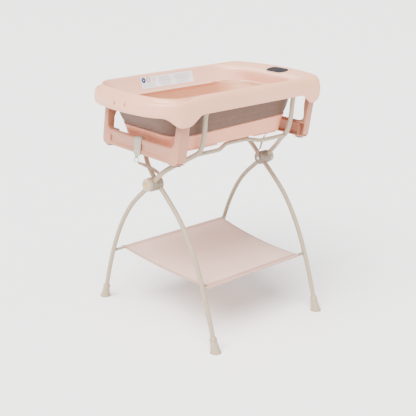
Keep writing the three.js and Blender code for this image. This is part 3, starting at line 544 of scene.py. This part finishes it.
def stand_tubes():
    for frame_name, (width, leg_side) in FRAMES.items():
        body = f"stand_{frame_name}"
        for side_name, side in SIDES.items():
            path = eased(catmull(side_tube_path(width, side, leg_side), 6))
            piece = tube(f"{frame_name}_tube_{side_name}", path, TUBE_R, TUBE)
            attach(piece, body, "painted_tube", f"{frame_name}_frame_tube_{side_name}")
        rail = tube(f"{frame_name}_rail", level_path(width["rail"] - RAIL_BEND, -leg_side * RAIL_Y, RAIL_Z),
                    TUBE_R, TUBE)
        attach(rail, body, "painted_tube", f"{frame_name}_frame_top_rail")
        path = eased(catmull(cross_bar_path(width, leg_side), 8), 3)
        attach(tube(f"{frame_name}_bar", path, BAR_R, TUBE), body, "painted_tube",
               f"{frame_name}_frame_cross_bar")
        rod = tube(f"{frame_name}_rod", level_path(width["foot"] - 2, leg_side * ROD_Y, ROD_Z), ROD_R, TUBE,
                   sides=20)
        attach(rod, body, "painted_tube", f"{frame_name}_frame_shelf_rod")


def boots():
    """Flared boots along the legs' first stretch, cut off level at the floor."""
    for frame_name, (width, leg_side) in FRAMES.items():
        for side_name, side in SIDES.items():
            foot, next_point = (Vector(p) for p in side_tube_path(width, side, leg_side)[:2])
            axis = (next_point - foot).normalized()
            base = foot - axis * (foot.z / axis.z)
            piece = lathe(f"{frame_name}_boot_{side_name}", BOOT_PROFILE, TUBE, base, axis, 36)
            for vertex in piece.data.vertices:
                if vertex.co.z < 0:
                    vertex.co -= axis * (vertex.co.z / axis.z)
            outward(piece.data)
            piece.data.set_sharp_from_angle(angle=math.radians(40))
            attach(piece, f"stand_{frame_name}", "hub_plastic", f"{frame_name}_frame_boot_{side_name}")


def hubs():
    for side_name in SIDES:
        soften(f"hub_outer_half_{side_name}", HUB, 2.2, 3)
        soften(f"hub_inner_half_{side_name}", HUB, 2.2, 3)
        soften(f"hub_washer_{side_name}", HOOK, 0)
        soften(f"hub_cap_{side_name}", IVORY, 1.2, 3)
        soften(f"hub_badge_{side_name}", GOLD, 0.4, 2)
        soften(f"hub_pivot_bolt_{side_name}", STEEL, 0.8, 2)


def attach(piece, body, slot, *replaced):
    """The piece on its body, in place of the CAD nodes it replaces; slot is not used."""
    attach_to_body(piece, body)
    if replaced:
        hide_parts(*replaced)
    return piece


# ------------------------------------------------------------------ bath
EDGE_STEPS = {"side": [0.2, 0.36, 0.5, 0.6, 0.66, 0.72, 0.78, 0.84, 0.92], "end": [0.2, 0.4, 0.6, 0.8]}
CORNER_STEPS = 10
CAPSULE_STEPS = 16


def outline(left, right, half, rl, rr, bow, z, grow=0):
    """A plan outline as points: reaches along X, half width, corner radii and how far the ends bulge."""
    l, r, h = left + grow, right + grow, half + grow
    cl, cr = min(rl + grow, h - 1), min(rr + grow, h - 1)
    points = []

    def corner(cx, cy, radius, start):
        for i in range(CORNER_STEPS + 1):
            a = start + math.pi / 2 * i / CORNER_STEPS
            points.append((cx + radius * math.cos(a), cy + radius * math.sin(a)))

    def edge(a, b, fractions):
        for f in [-g for g in reversed(fractions)] + [0] + list(fractions):
            t = (f + 1) / 2
            points.append((a[0] + (b[0] - a[0]) * t, a[1] + (b[1] - a[1]) * t))

    corner(r - cr, h - cr, cr, 0)
    edge((r - cr, h), (-l + cl, h), EDGE_STEPS["side"])
    corner(-l + cl, h - cl, cl, math.pi / 2)
    edge((-l, h - cl), (-l, -h + cl), EDGE_STEPS["end"])
    corner(-l + cl, -h + cl, cl, math.pi)
    edge((-l + cl, -h), (r - cr, -h), EDGE_STEPS["side"])
    corner(r - cr, -h + cr, cr, math.pi * 3 / 2)
    edge((r, -h + cr), (r, h - cr), EDGE_STEPS["end"])
    ring = []
    for px, py in points:
        pull = bow * (py / h) ** 2 * abs(px / (r if px > 0 else l)) ** 3
        x = px - math.copysign(pull, px)
        ring.append(Vector((x + BATH_X, py, z(x, py) if callable(z) else z)))
    return ring


def shell(d, side, z):
    """The rim's outer outline, brought in by d at the ends and by side along the sides."""
    return outline(RIM["left"] - d, RIM["right"] - d, RIM["half"] - side, RIM["left_corner"] - d * 0.6,
                   RIM["right_corner"], RIM["bow"], z)


def skirt_edge(x, y, lift):
    """The height of the skirt's lower edge, which droops at the four lobes."""
    start, full, rise, end = LOBES[-1 if x < 0 else 1]
    along = abs(x)
    lobe = smoothstep(start, full, along) * (1 - smoothstep(rise, end, along))
    return SKIRT_Z + lift - LOBE_DROP * lobe * smoothstep(*LOBE_ACROSS, abs(y))


def skirt(d, side, lift):
    return shell(d, side, lambda x, y: skirt_edge(x, y, lift))


def deck(z, step=0.0, dish=0.0):
    """A height on the rim: stepped down round one end, and sloping down at the display's end."""
    def height(x, y):
        drop = DISH["depth"] * dish * smoothstep(DISH["from"], DISH["full"], x)
        return z - drop - step * smoothstep(*LEFT_STEP, x)
    return height


def bath_rim():
    rings = [
        skirt(3.4, 2.8, 0.4), skirt(2.4, 1.8, 1.2), skirt(1.2, 0.9, 5), skirt(0.4, 0.3, 11),
        shell(0, 0.3, 940), shell(1, 1.6, 954),
        shell(3.6, 5, deck(971, 3)), shell(6.8, 8.4, deck(980, 7.4)),
        shell(10.4, 12, deck(985.6, 10.8)), shell(13, 14.2, deck(988.4, 14)),
        shell(16, 16.4, deck(989.5, 16.2)), shell(20, 18.2, deck(RIM_TOP, 16.4)),
        shell(25, 19.4, deck(RIM_TOP, 13.6)), shell(29.5, 20.3, deck(RIM_TOP, 7.2, 0.08)),
        shell(34, 21, deck(RIM_TOP, 1.6, 0.15)),
        outline(396, 374, 240.6, 84, 84, 38, deck(989.6, -0.4, 0.84)),
        outline(391, 358, 238.9, 84, 96, 36, deck(988.2, -0.6, 1.02)),
        outline(387.5, 352.5, 236.8, 84, 99, 34, deck(984.6, 0, 1)),
        outline(385.5, 350.4, 235, 84, 100, 33, deck(979.5, 0, 1)),
        outline(376, 353, 224, 88, 102, 28, deck(952, 0, 0.5)),
        outline(364, 357.4, 210, 90, 100, 22, 924.5),
        outline(362, 358, 208.4, 90, 100, 22, STEP_Z + 1),
        outline(361, 357, 207.4, 90, 100, 22, STEP_Z),
        outline(367, 363, 213, 94, 104, 22, STEP_Z),
        outline(380, 358, 228, 92, 106, 28, deck(952, 0, 0.5)),
        outline(389, 355, 239, 88, 104, 33, deck(976, 0, 1)),
        outline(394, 358, 242, 88, 98, 36, deck(981, 0, 1)),
        shell(17, 16, deck(982, 16)), shell(9.5, 10, deck(972, 9)), shell(4.6, 5, 950),
        skirt(4, 3.9, 10), skirt(5.6, 4.9, 2), skirt(5.2, 4.4, 0.4),
    ]
    # the rim's inner face takes the lighter pink copy, painted light
    inner_face = range(15, 21)
    bands = [1 if i in inner_face else 0 for i in range(len(rings))]
    rim = loft("bath_shell", rings, [SHELL, SHELL_PAINTED_LIGHT], closed=True, bands=bands)
    subdivide(rim)
    slot_xs = [BATH_X + x for x in SLOTS["x"]]
    cutters = [
        *[box_cutter(slot_xs, ys, zs) for ys, zs in SLOTS["yz"]],
        capsule("cutter", [(0.6, -30), (0.6, 30)], DARK, capped=True),
    ]
    for cutter in cutters:
        cut = rim.modifiers.new("cut", "BOOLEAN")
        cut.operation = "DIFFERENCE"
        cut.solver = "EXACT"
        cut.object = cutter
    apply_modifiers(rim)
    for cutter in cutters:
        bpy.data.objects.remove(cutter)
    rim.data.set_sharp_from_angle(angle=math.radians(48))
    attach(rim, "bath", "pink_shell", "bath_rim")


def box_cutter(xs, ys, zs):
    low = np.array([xs[0], ys[0], zs[0]])
    high = np.array([xs[1], ys[1], zs[1]])
    corners = [[(low, high)[i >> k & 1][k] * MM for k in range(3)] for i in range(8)]
    return mesh_object("cutter", corners, [
        (0, 2, 3, 1), (4, 5, 7, 6), (0, 1, 5, 4), (2, 6, 7, 3), (0, 4, 6, 2), (1, 3, 7, 5),
    ], DARK, smooth=False)


def capsule(name, profile, material, *, closed=False, capped=False):
    """Rings of the display's rounded outline on the sloping deck, each grown and raised as profile says."""
    half = (DISPLAY["length"] - DISPLAY["width"]) / 2
    turn = Matrix.Rotation(-DISPLAY["tilt"], 3, "Y")
    centre = Vector((DISPLAY["x"], DISPLAY["y"], DISPLAY["z"]))
    rings = []
    for grow, z in profile:
        r = DISPLAY["width"] / 2 + grow
        ring = []
        for start, cy in ((0, half), (math.pi, -half)):
            for i in range(CAPSULE_STEPS + 1):
                a = start + math.pi * i / CAPSULE_STEPS
                ring.append(centre + turn @ Vector((r * math.cos(a), cy + r * math.sin(a), z)))
        rings.append(ring)
    return loft(name, rings, material, closed=closed, capped=capped)


def display():
    frame_profile = [
        (0.2, -13), (0.2, -0.8), (1.0, -0.3), (0.9, 0.1), (0.2, 0.35), (-1.2, 0.3), (-2.0, 0), (-2.4, -0.8),
        (-2.5, -4.5), (-6, -4.5), (-6, -13),
    ]
    # the bezel takes the lighter pink copy, painted light
    bezel = capsule("display_bezel", frame_profile, SHELL_PAINTED_LIGHT, closed=True)
    bezel.data.set_sharp_from_angle(angle=math.radians(60))
    attach(bezel, "bath", "pink_shell", "display_frame")
    window = capsule("display_window", [
        (-2.8, -4.2), (-2.8, -1.2), (-3.4, -0.7), (-8, -0.5), (-14, -0.35), (-24, -0.3),
    ], GLASS, capped=True)
    window.data.set_sharp_from_angle(angle=math.radians(60))
    attach(window, "bath", "dark_glass", "display_lens")


def leaning(z, share=1.0):
    """A height that follows the lean of the soft wall's foot by this share."""
    return lambda x, y: z + LEAN * share * x


def fold_wall():
    """The soft wall: a flange under the rim, an upper band, a fold line and a lower band."""
    def wall(left, right, half, rl, rr, z, grow, bow):
        return outline(left, right, half, rl, rr, bow, z, grow)

    top = (365, 361, 211, 94, 104)
    outside = [
        (*top, STEP_Z - 0.5, 0, 22), (*top, STEP_Z - 4, 0, 22), (*top, STEP_Z - 5, -1, 22),
        (344, 352, 207.4, 112, 130, 909, 0, 4), (341, 350, 206.5, 112, 130, 904, 0, 0),
        (333.5, 337, 204.6, 107, 115, leaning(889), 0, 0), (326, 325, 203.2, 102, 102, leaning(876), 0, 0),
        (323.6, 321.5, 202, 100, 98, leaning(871), 0, 0),
        (322.4, 320, 201.2, 100, 96, leaning(868.5), 0, 0),
        (321.4, 318.6, 201.4, 99, 94, leaning(866), 0, 0),
        (312, 303, 199.4, 94, 80, leaning(852), 0, 0), (303.6, 289, 197.4, 88, 68, leaning(839.4), 0, 0),
        (303, 288, 196.8, 88, 68, leaning(838.3), 0, 0),
    ]
    inside = [(*sizes, grow - WALL_THICK, bow) for *sizes, grow, bow in outside[3:]]
    rings = [wall(*sizes) for sizes in [*outside, *reversed(inside)]]
    rings += [wall(*top, STEP_Z - 2.5, -9, 22), wall(*top, STEP_Z - 0.5, -7.5, 22)]
    # outside strips take the painted-shade copy, inside strips the painted-light copy
    bands = [0] * (len(outside) - 1) + [1] * (len(rings) - len(outside) + 1)
    piece = loft("fold_wall", rings, [SOFT_WALL_PAINTED_SHADE, SOFT_WALL_PAINTED_LIGHT], closed=True, bands=bands)
    subdivide(piece)
    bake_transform(piece)
    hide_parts("bath_fold_wall")


def basin():
    """The basin as a double skin round its lip, with four ribs under its floor."""
    top = WALL_BOTTOM - 0.5
    low = BASIN_BOTTOM

    def ring(left, right, half, rl, rr, z, share=0.0):
        return outline(left, right, half, rl, rr, 0, leaning(z, share))

    skin = [
        ring(120, 110, 60, 30, 24, low + 4), ring(250, 224, 147, 58, 38, low + 4),
        ring(264, 238, 160, 65, 43, low + 4.6), ring(276, 250, 171, 71, 46, low + 7.4),
        ring(283, 257, 178, 76, 48, low + 14), ring(287, 262, 182.6, 79, 51, low + 26, 0.3),
        ring(295, 277, 190, 83, 60, top - 8, 1), ring(296.4, 280.2, 191.6, 84, 62, top - 0.8, 1),
        ring(297.4, 281.2, 192.4, 84, 62, top, 1), ring(304.2, 289.2, 198.9, 90, 70, top, 1),
        ring(305.2, 290.2, 199.8, 90, 70, top - 0.8, 1), ring(305.2, 290.2, 199.8, 90, 70, top - 4, 1),
        ring(303.8, 288.8, 198.4, 90, 70, top - 5, 1), ring(303, 287, 197.6, 89, 69, top - 8, 1),
        ring(297, 272, 191.8, 84, 60, low + 30, 0.4), ring(293.6, 267.6, 188.2, 82, 56, low + 9),
        ring(293, 267, 187.6, 82, 56, low + 6), ring(289.4, 263.4, 184.2, 79, 53, low + 2.4),
        ring(283, 257, 178, 75, 49, low + 0.3), ring(272, 246, 167, 68, 43, low),
        ring(120, 110, 60, 30, 24, low),
    ]
    piece = loft("basin_shell", skin, BASIN)
    subdivide(piece)
    piece.data.set_sharp_from_angle(angle=math.radians(60))
    ribs = []
    for x0, x1 in RIBS["x"]:
        for side in (-1, 1):
            ys = sorted(side * y for y in RIBS["y"])
            ribs.append(round_box("rib", (BATH_X + x0, BATH_X + x1), ys, (low - RIBS["drop"], low + 3),
                                  RIBS["edge"], BASIN))
    piece = join("basin_shell", [piece, *ribs])
    attach(piece, "basin", "pink_shell", "bath_basin")
    soften("drain_seat", HOOK, 0.4)
    soften("drain_plug", IVORY, 0.6)


def round_box(name, xs, ys, zs, radius, material):
    """A block with rounded edges."""
    obj = box_cutter(xs, ys, zs)
    obj.name = obj.data.name = name
    obj.data.materials.clear()
    obj.data.materials.append(material)
    bevel = obj.modifiers.new("bevel", "BEVEL")
    bevel.width = radius * MM
    bevel.segments = 3
    apply_modifiers(obj)
    obj.data.polygons.foreach_set("use_smooth", [True] * len(obj.data.polygons))
    return obj


def bath_legs():
    """The legs with their pads, pins, hooks and rings, and the rim's blocks, as the CAD has them."""
    for side_name in SIDES:
        # the legs take the darkened pink, painted shade
        soften(f"bath_leg_{side_name}", LEG_PAINTED_SHADE, 2.0, 3, 28)
        for end in ("near", "far"):
            soften(f"leg_pad_{side_name}_{end}", RUBBER, 1.0, 2)
            soften(f"leg_pin_{side_name}_{end}", STEEL, 0.5, 2)
        soften(f"strap_hook_{side_name}", HOOK, 0.9, 2)
        soften(f"strap_ring_{side_name}", STEEL, 0)
    for end in ("near", "far"):
        for side_name in SIDES:
            soften(f"rim_saddle_{end}_{side_name}", SHELL, 0.8, 2)


# ------------------------------------------------------------------ straps
def straps():
    """Flat webbing from each ring over the hub, edge-on at the ring and flat against the hub."""
    face = INNER_X["hub"] - HUB_THICK / 2
    for side_name, side in SIDES.items():
        x0, z0 = STRAP["tops"][side_name]
        over = STAND_X + side * (face + 8)
        route = [
            (x0, z0), ((x0 + over) / 2, (z0 + 650) / 2 + 3), (over, 648),
            (STAND_X + side * (face - 1), 640), (STAND_X + side * (face - 4), 630),
            (STAND_X + side * (face - 4), 616.5),
        ]
        path = catmull([(x, 0, z) for x, z in route], 8)
        rings = []
        for i, centre in enumerate(path):
            ahead = Vector(path[min(i + 1, len(path) - 1)] - path[max(i - 1, 0)]).normalized()
            up = Vector((-ahead.z, 0, ahead.x))
            share = i / (len(path) - 1)
            turn = STRAP["twist"] * (1 - smoothstep(0.3, 0.85, share))
            across = Vector((0, math.cos(turn), 0)) + up * math.sin(turn)
            through = up * math.cos(turn) - Vector((0, math.sin(turn), 0))
            pinch = 1 - 0.3 * math.exp(-((i / 4) ** 2))
            middle = Vector(centre) + Vector((0, 3 * (1 - share), 0))
            rings.append([
                middle + across * STRAP["width"] / 2 * pinch * a + through * STRAP["thick"] / 2 * b
                for a, b in ((-1, -0.6), (-0.94, -1), (0.94, -1), (1, -0.6), (1, 0.6), (0.94, 1),
                             (-0.94, 1), (-1, 0.6))
            ])
        piece = loft(f"strap_{side_name}", rings, WEB)
        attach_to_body(piece, f"bath_leg_{side_name}")
        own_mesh(piece)
        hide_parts(f"safety_strap_{side_name}")


# ------------------------------------------------------------------ sticker
def label_y(z):
    """Where the rim's far inner wall stands at this height."""
    return float(np.interp(z, RIM_WALL["z"], RIM_WALL["y"]))


def sticker():
    """A white film on the far inner wall, printed with two discs and four blocks of grey bars."""
    def patch(name, x0, x1, z0, z1, proud, material, steps=(1, 1)):
        vertices, faces = [], []
        columns, rows = steps
        for j in range(rows + 1):
            z = z0 + (z1 - z0) * j / rows
            for i in range(columns + 1):
                vertices.append(((x0 + (x1 - x0) * i / columns) * MM, (label_y(z) - proud) * MM, z * MM))
        for j in range(rows):
            for i in range(columns):
                a = j * (columns + 1) + i
                faces.append((a, a + 1, a + columns + 2, a + columns + 1))
        return mesh_object(name, vertices, faces, material, smooth=False)

    def disc(x, r, proud, material, hole=0.0):
        sides = 36

        def circle(radius):
            angles = [TAU * i / sides for i in range(sides)]
            heights = [LABEL_DISCS["z"] + radius * math.sin(a) for a in angles]
            return [((BATH_X + x + radius * math.cos(a)) * MM, (label_y(z) - proud) * MM, z * MM)
                    for a, z in zip(angles, heights)]

        if not hole:
            return mesh_object("print", circle(r), [tuple(range(sides))], material, smooth=False)
        faces = [(i, (i + 1) % sides, sides + (i + 1) % sides, sides + i) for i in range(sides)]
        return mesh_object("print", circle(r) + circle(hole), faces, material, smooth=False)

    film = patch("sticker_film", LABEL["x0"], LABEL["x1"], LABEL["z0"], LABEL["z1"], 0.9, PAPER, (1, 12))
    blue_x, red_x, radius = LABEL_DISCS["blue_x"], LABEL_DISCS["red_x"], LABEL_DISCS["radius"]
    prints = [disc(blue_x, radius, 1.1, INK_BLUE), disc(blue_x, 2.2, 1.3, PAPER),
              disc(red_x, radius, 1.1, INK_RED, 7.2), disc(red_x, 4.2, 1.1, INK_GREY)]
    draw = random.Random(7)
    for x0, x1, z, lowest in LABEL_BLOCKS:
        while z > lowest:
            end = x0 + (x1 - x0) * draw.uniform(LABEL_LINES["shortest"], 1)
            prints.append(patch("print", x0, end, z - LABEL_LINES["thick"], z, 1.1, INK_GREY))
            z -= LABEL_LINES["pitch"]
    ink = join("sticker_print", prints)
    attach(film, "bath", "paper", "care_label")
    attach(ink, "bath", "paper")


# ------------------------------------------------------------------ shelf
def shelf():
    """The sling: a taut sheet sewn round the two rods, sagged by a short cloth simulation."""
    columns, rows = SHELF_COLUMNS, SHELF_ROWS
    top = ROD_Z + ROD_R + SHELF["lift"]
    half = ROD_Y - 2

    def edge_x(v, end):
        near, far = SHELF["near"][end], SHELF["far"][end]
        inward = (1, -1)[end] * SHELF["bow"] * math.sin(math.pi * v)
        return near + (far - near) * v + inward

    vertices, faces, pinned = [], [], []
    for j in range(rows + 1):
        v = j / rows
        for i in range(columns + 1):
            u = i / columns
            x = edge_x(v, 0) * (1 - u) + edge_x(v, 1) * u
            vertices.append((x * MM, (-half + 2 * half * v) * MM, top * MM))
            if j in (0, rows):
                pinned.append(len(vertices) - 1)
    for j in range(rows):
        for i in range(columns):
            a = j * (columns + 1) + i
            faces.append((a, a + 1, a + columns + 2, a + columns + 1))
    sheet = mesh_object("shelf_cloth", vertices, faces, [FABRIC, HEM])
    drape(sheet, pinned)
    for vertex in sheet.data.vertices:
        off_rod = ROD_Y - abs(vertex.co.y / MM)
        vertex.co.z -= SHELF["tuck"] * MM * smoothstep(*SHELF["tuck_from"], off_rod)
    for polygon in sheet.data.polygons:
        if ROD_Y - abs(polygon.center.y / MM) < SHELF["hem"]:
            polygon.material_index = 1
    return sheet


def drape(sheet, pinned):
    """Lets the sheet sag as taut cloth held at its pinned points."""
    group = sheet.vertex_groups.new(name="pinned")
    group.add(pinned, 1.0, "REPLACE")
    cloth = sheet.modifiers.new("cloth", "CLOTH")
    settings = cloth.settings
    settings.vertex_group_mass = "pinned"
    settings.mass = 0.12
    settings.quality = 8
    settings.tension_stiffness = settings.compression_stiffness = 40
    settings.shear_stiffness = 15
    settings.bending_stiffness = 0.4
    settings.shrink_min = 0.008
    cloth.collision_settings.use_self_collision = False
    scene = bpy.context.scene
    cloth.point_cache.frame_start, cloth.point_cache.frame_end = 1, CLOTH_FRAMES
    for number in range(1, CLOTH_FRAMES + 1):
        scene.frame_set(number)
    apply_modifiers(sheet)
    scene.frame_set(1)
    lowest = (ROD_Z + ROD_R + SHELF["lift"] - SHELF["deepest"]) * MM
    for vertex in sheet.data.vertices:
        vertex.co.z = max(vertex.co.z, lowest)


def sleeve(name, y, x0, x1):
    """The hem that wraps a rod: round it and back under the sheet to the seam."""
    r = ROD_R + HEM_THICK
    wrap, wrap_steps = math.pi * 1.35, 14
    section = []
    for i in range(wrap_steps + 1):
        a = math.pi / 2 - wrap * i / wrap_steps
        section.append((y + math.copysign(r * math.cos(a), y), ROD_Z + r * math.sin(a)))
    section.append((y - math.copysign(SHELF["seam"], y), ROD_Z + r - 1.6))
    share = HEM_THICK / r
    back = [(yy + (y - yy) * share, zz + (ROD_Z - zz) * share) for yy, zz in section[:-1]]
    back.append((section[-1][0], section[-1][1] + HEM_THICK))
    loop = section + back[::-1]
    rings = []
    steps = 40
    for k in range(steps + 1):
        x = x0 + (x1 - x0) * k / steps
        ripple = 0.1 * math.sin(k * 1.7) + 0.08 * math.sin(k * 0.6 + 1)
        rings.append([Vector((x, yy, zz + ripple)) for yy, zz in loop])
    piece = loft(name, rings, HEM)
    piece.data.set_sharp_from_angle(angle=math.radians(60))
    return piece


def hem_strip(name, sheet, end):
    """The doubled side hem, laid on the sheet along one of its free edges."""
    overhang = 1.2
    vertices, faces = [], []
    for j in range(SHELF_ROWS + 1):
        row = j * (SHELF_COLUMNS + 1)
        for side in (1, -1):
            for i in (0, 1):
                index = row + (i if end == 0 else SHELF_COLUMNS - i)
                co = sheet.data.vertices[index].co.copy()
                if i == 0:
                    co.x += (-overhang if end == 0 else overhang) * MM
                vertices.append((co.x, co.y, co.z + side * HEM_THICK * MM))
    for j in range(SHELF_ROWS):
        a, b = j * 4, (j + 1) * 4
        faces += [(a, a + 1, b + 1, b), (a + 2, b + 2, b + 3, a + 3), (a, b, b + 2, a + 2),
                  (a + 1, a + 3, b + 3, b + 1)]
    faces += [(0, 2, 3, 1), tuple(SHELF_ROWS * 4 + k for k in (0, 1, 3, 2))]
    return mesh_object(name, vertices, faces, HEM)


def stitches(name, path, lift):
    """A row of small thread bars along a path in metres, raised by lift in millimetres."""
    pitch, length, thread = 4.2, 2.8, 0.35
    path = [Vector(p) for p in path]
    lengths = [(b - a).length for a, b in zip(path, path[1:])]
    total = sum(lengths)
    vertices, faces = [], []
    for k in range(int(total / (pitch * MM))):
        want = (k + 0.5) * pitch * MM
        i = 0
        while i < len(lengths) - 1 and want > lengths[i]:
            want -= lengths[i]
            i += 1
        along = (path[i + 1] - path[i]).normalized()
        centre = path[i] + along * want + Vector((0, 0, lift * MM))
        side = along.cross(Vector((0, 0, 1))).normalized() * thread * MM
        half = along * length / 2 * MM
        up = Vector((0, 0, thread * MM))
        base = len(vertices)
        vertices += [centre - half - up, centre - half * 0.8 + side, centre - half * 0.8 - side,
                     centre + up * 0.6, centre + half * 0.8 + side, centre + half * 0.8 - side,
                     centre + half - up]
        faces += [tuple(base + q for q in f) for f in (
            (0, 2, 1), (1, 2, 3), (1, 3, 4), (2, 5, 3), (3, 5, 4), (4, 5, 6), (0, 1, 4, 6), (0, 6, 5, 2))]
    return mesh_object(name, vertices, faces, HEM)


def rivets():
    """Three small rivets at the left corners, two of them at the near one."""
    near, far = SHELF["near"][0], SHELF["far"][0]
    spots = [(near + 3, -ROD_Y), (near + 2, -ROD_Y + 13), (far + 4, ROD_Y - 1)]
    profile = [(0, -1.4), (3.0, -1.4), (3.3, 0), (3.0, 0.8), (1.9, 1.3), (1.6, 0.9), (0, 0.8)]
    z = ROD_Z + ROD_R + 3.0
    return [lathe(f"rivet_{number}", profile, DARK, (x, y, z), (0, 0, 1), 16)
            for number, (x, y) in enumerate(spots)]


def shelf_goods():
    """The shelf sheet with its hems, rows of stitches, sleeves and rivets."""
    sheet = shelf()
    hems = [hem_strip(f"shelf_hem_{name}", sheet, end) for end, name in enumerate(("left", "right"))]
    grid = np.arange((SHELF_ROWS + 1) * (SHELF_COLUMNS + 1)).reshape(SHELF_ROWS + 1, SHELF_COLUMNS + 1)
    lines = {"near": (grid[2], 1.2), "far": (grid[-3], 1.2),
             "side_0": (grid[:, 2], 1.3), "side_1": (grid[:, -3], 1.3)}
    seams = [stitches(f"seam_{name}", [sheet.data.vertices[int(i)].co for i in line], lift)
             for name, (line, lift) in lines.items()]
    sleeves = [sleeve(f"sleeve_{name}", y, *SHELF[name]) for name, y in (("near", -ROD_Y), ("far", ROD_Y))]
    buttons = rivets()
    thickness = sheet.modifiers.new("thickness", "SOLIDIFY")
    thickness.thickness = 1.1 * MM
    thickness.offset = 0
    apply_modifiers(sheet)
    for piece in (sheet, *hems, *seams, *sleeves):
        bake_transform(piece)
    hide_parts("shelf_sling")
    for button, body in zip(buttons, ("stand_inner", "stand_inner", "stand_outer")):
        attach(button, body, "grey_rubber")


# ------------------------------------------------------------------ the scene
camera()
studio()
stand_tubes()
boots()
hubs()
bath_rim()
display()
fold_wall()
basin()
bath_legs()
straps()
sticker()
shelf_goods()
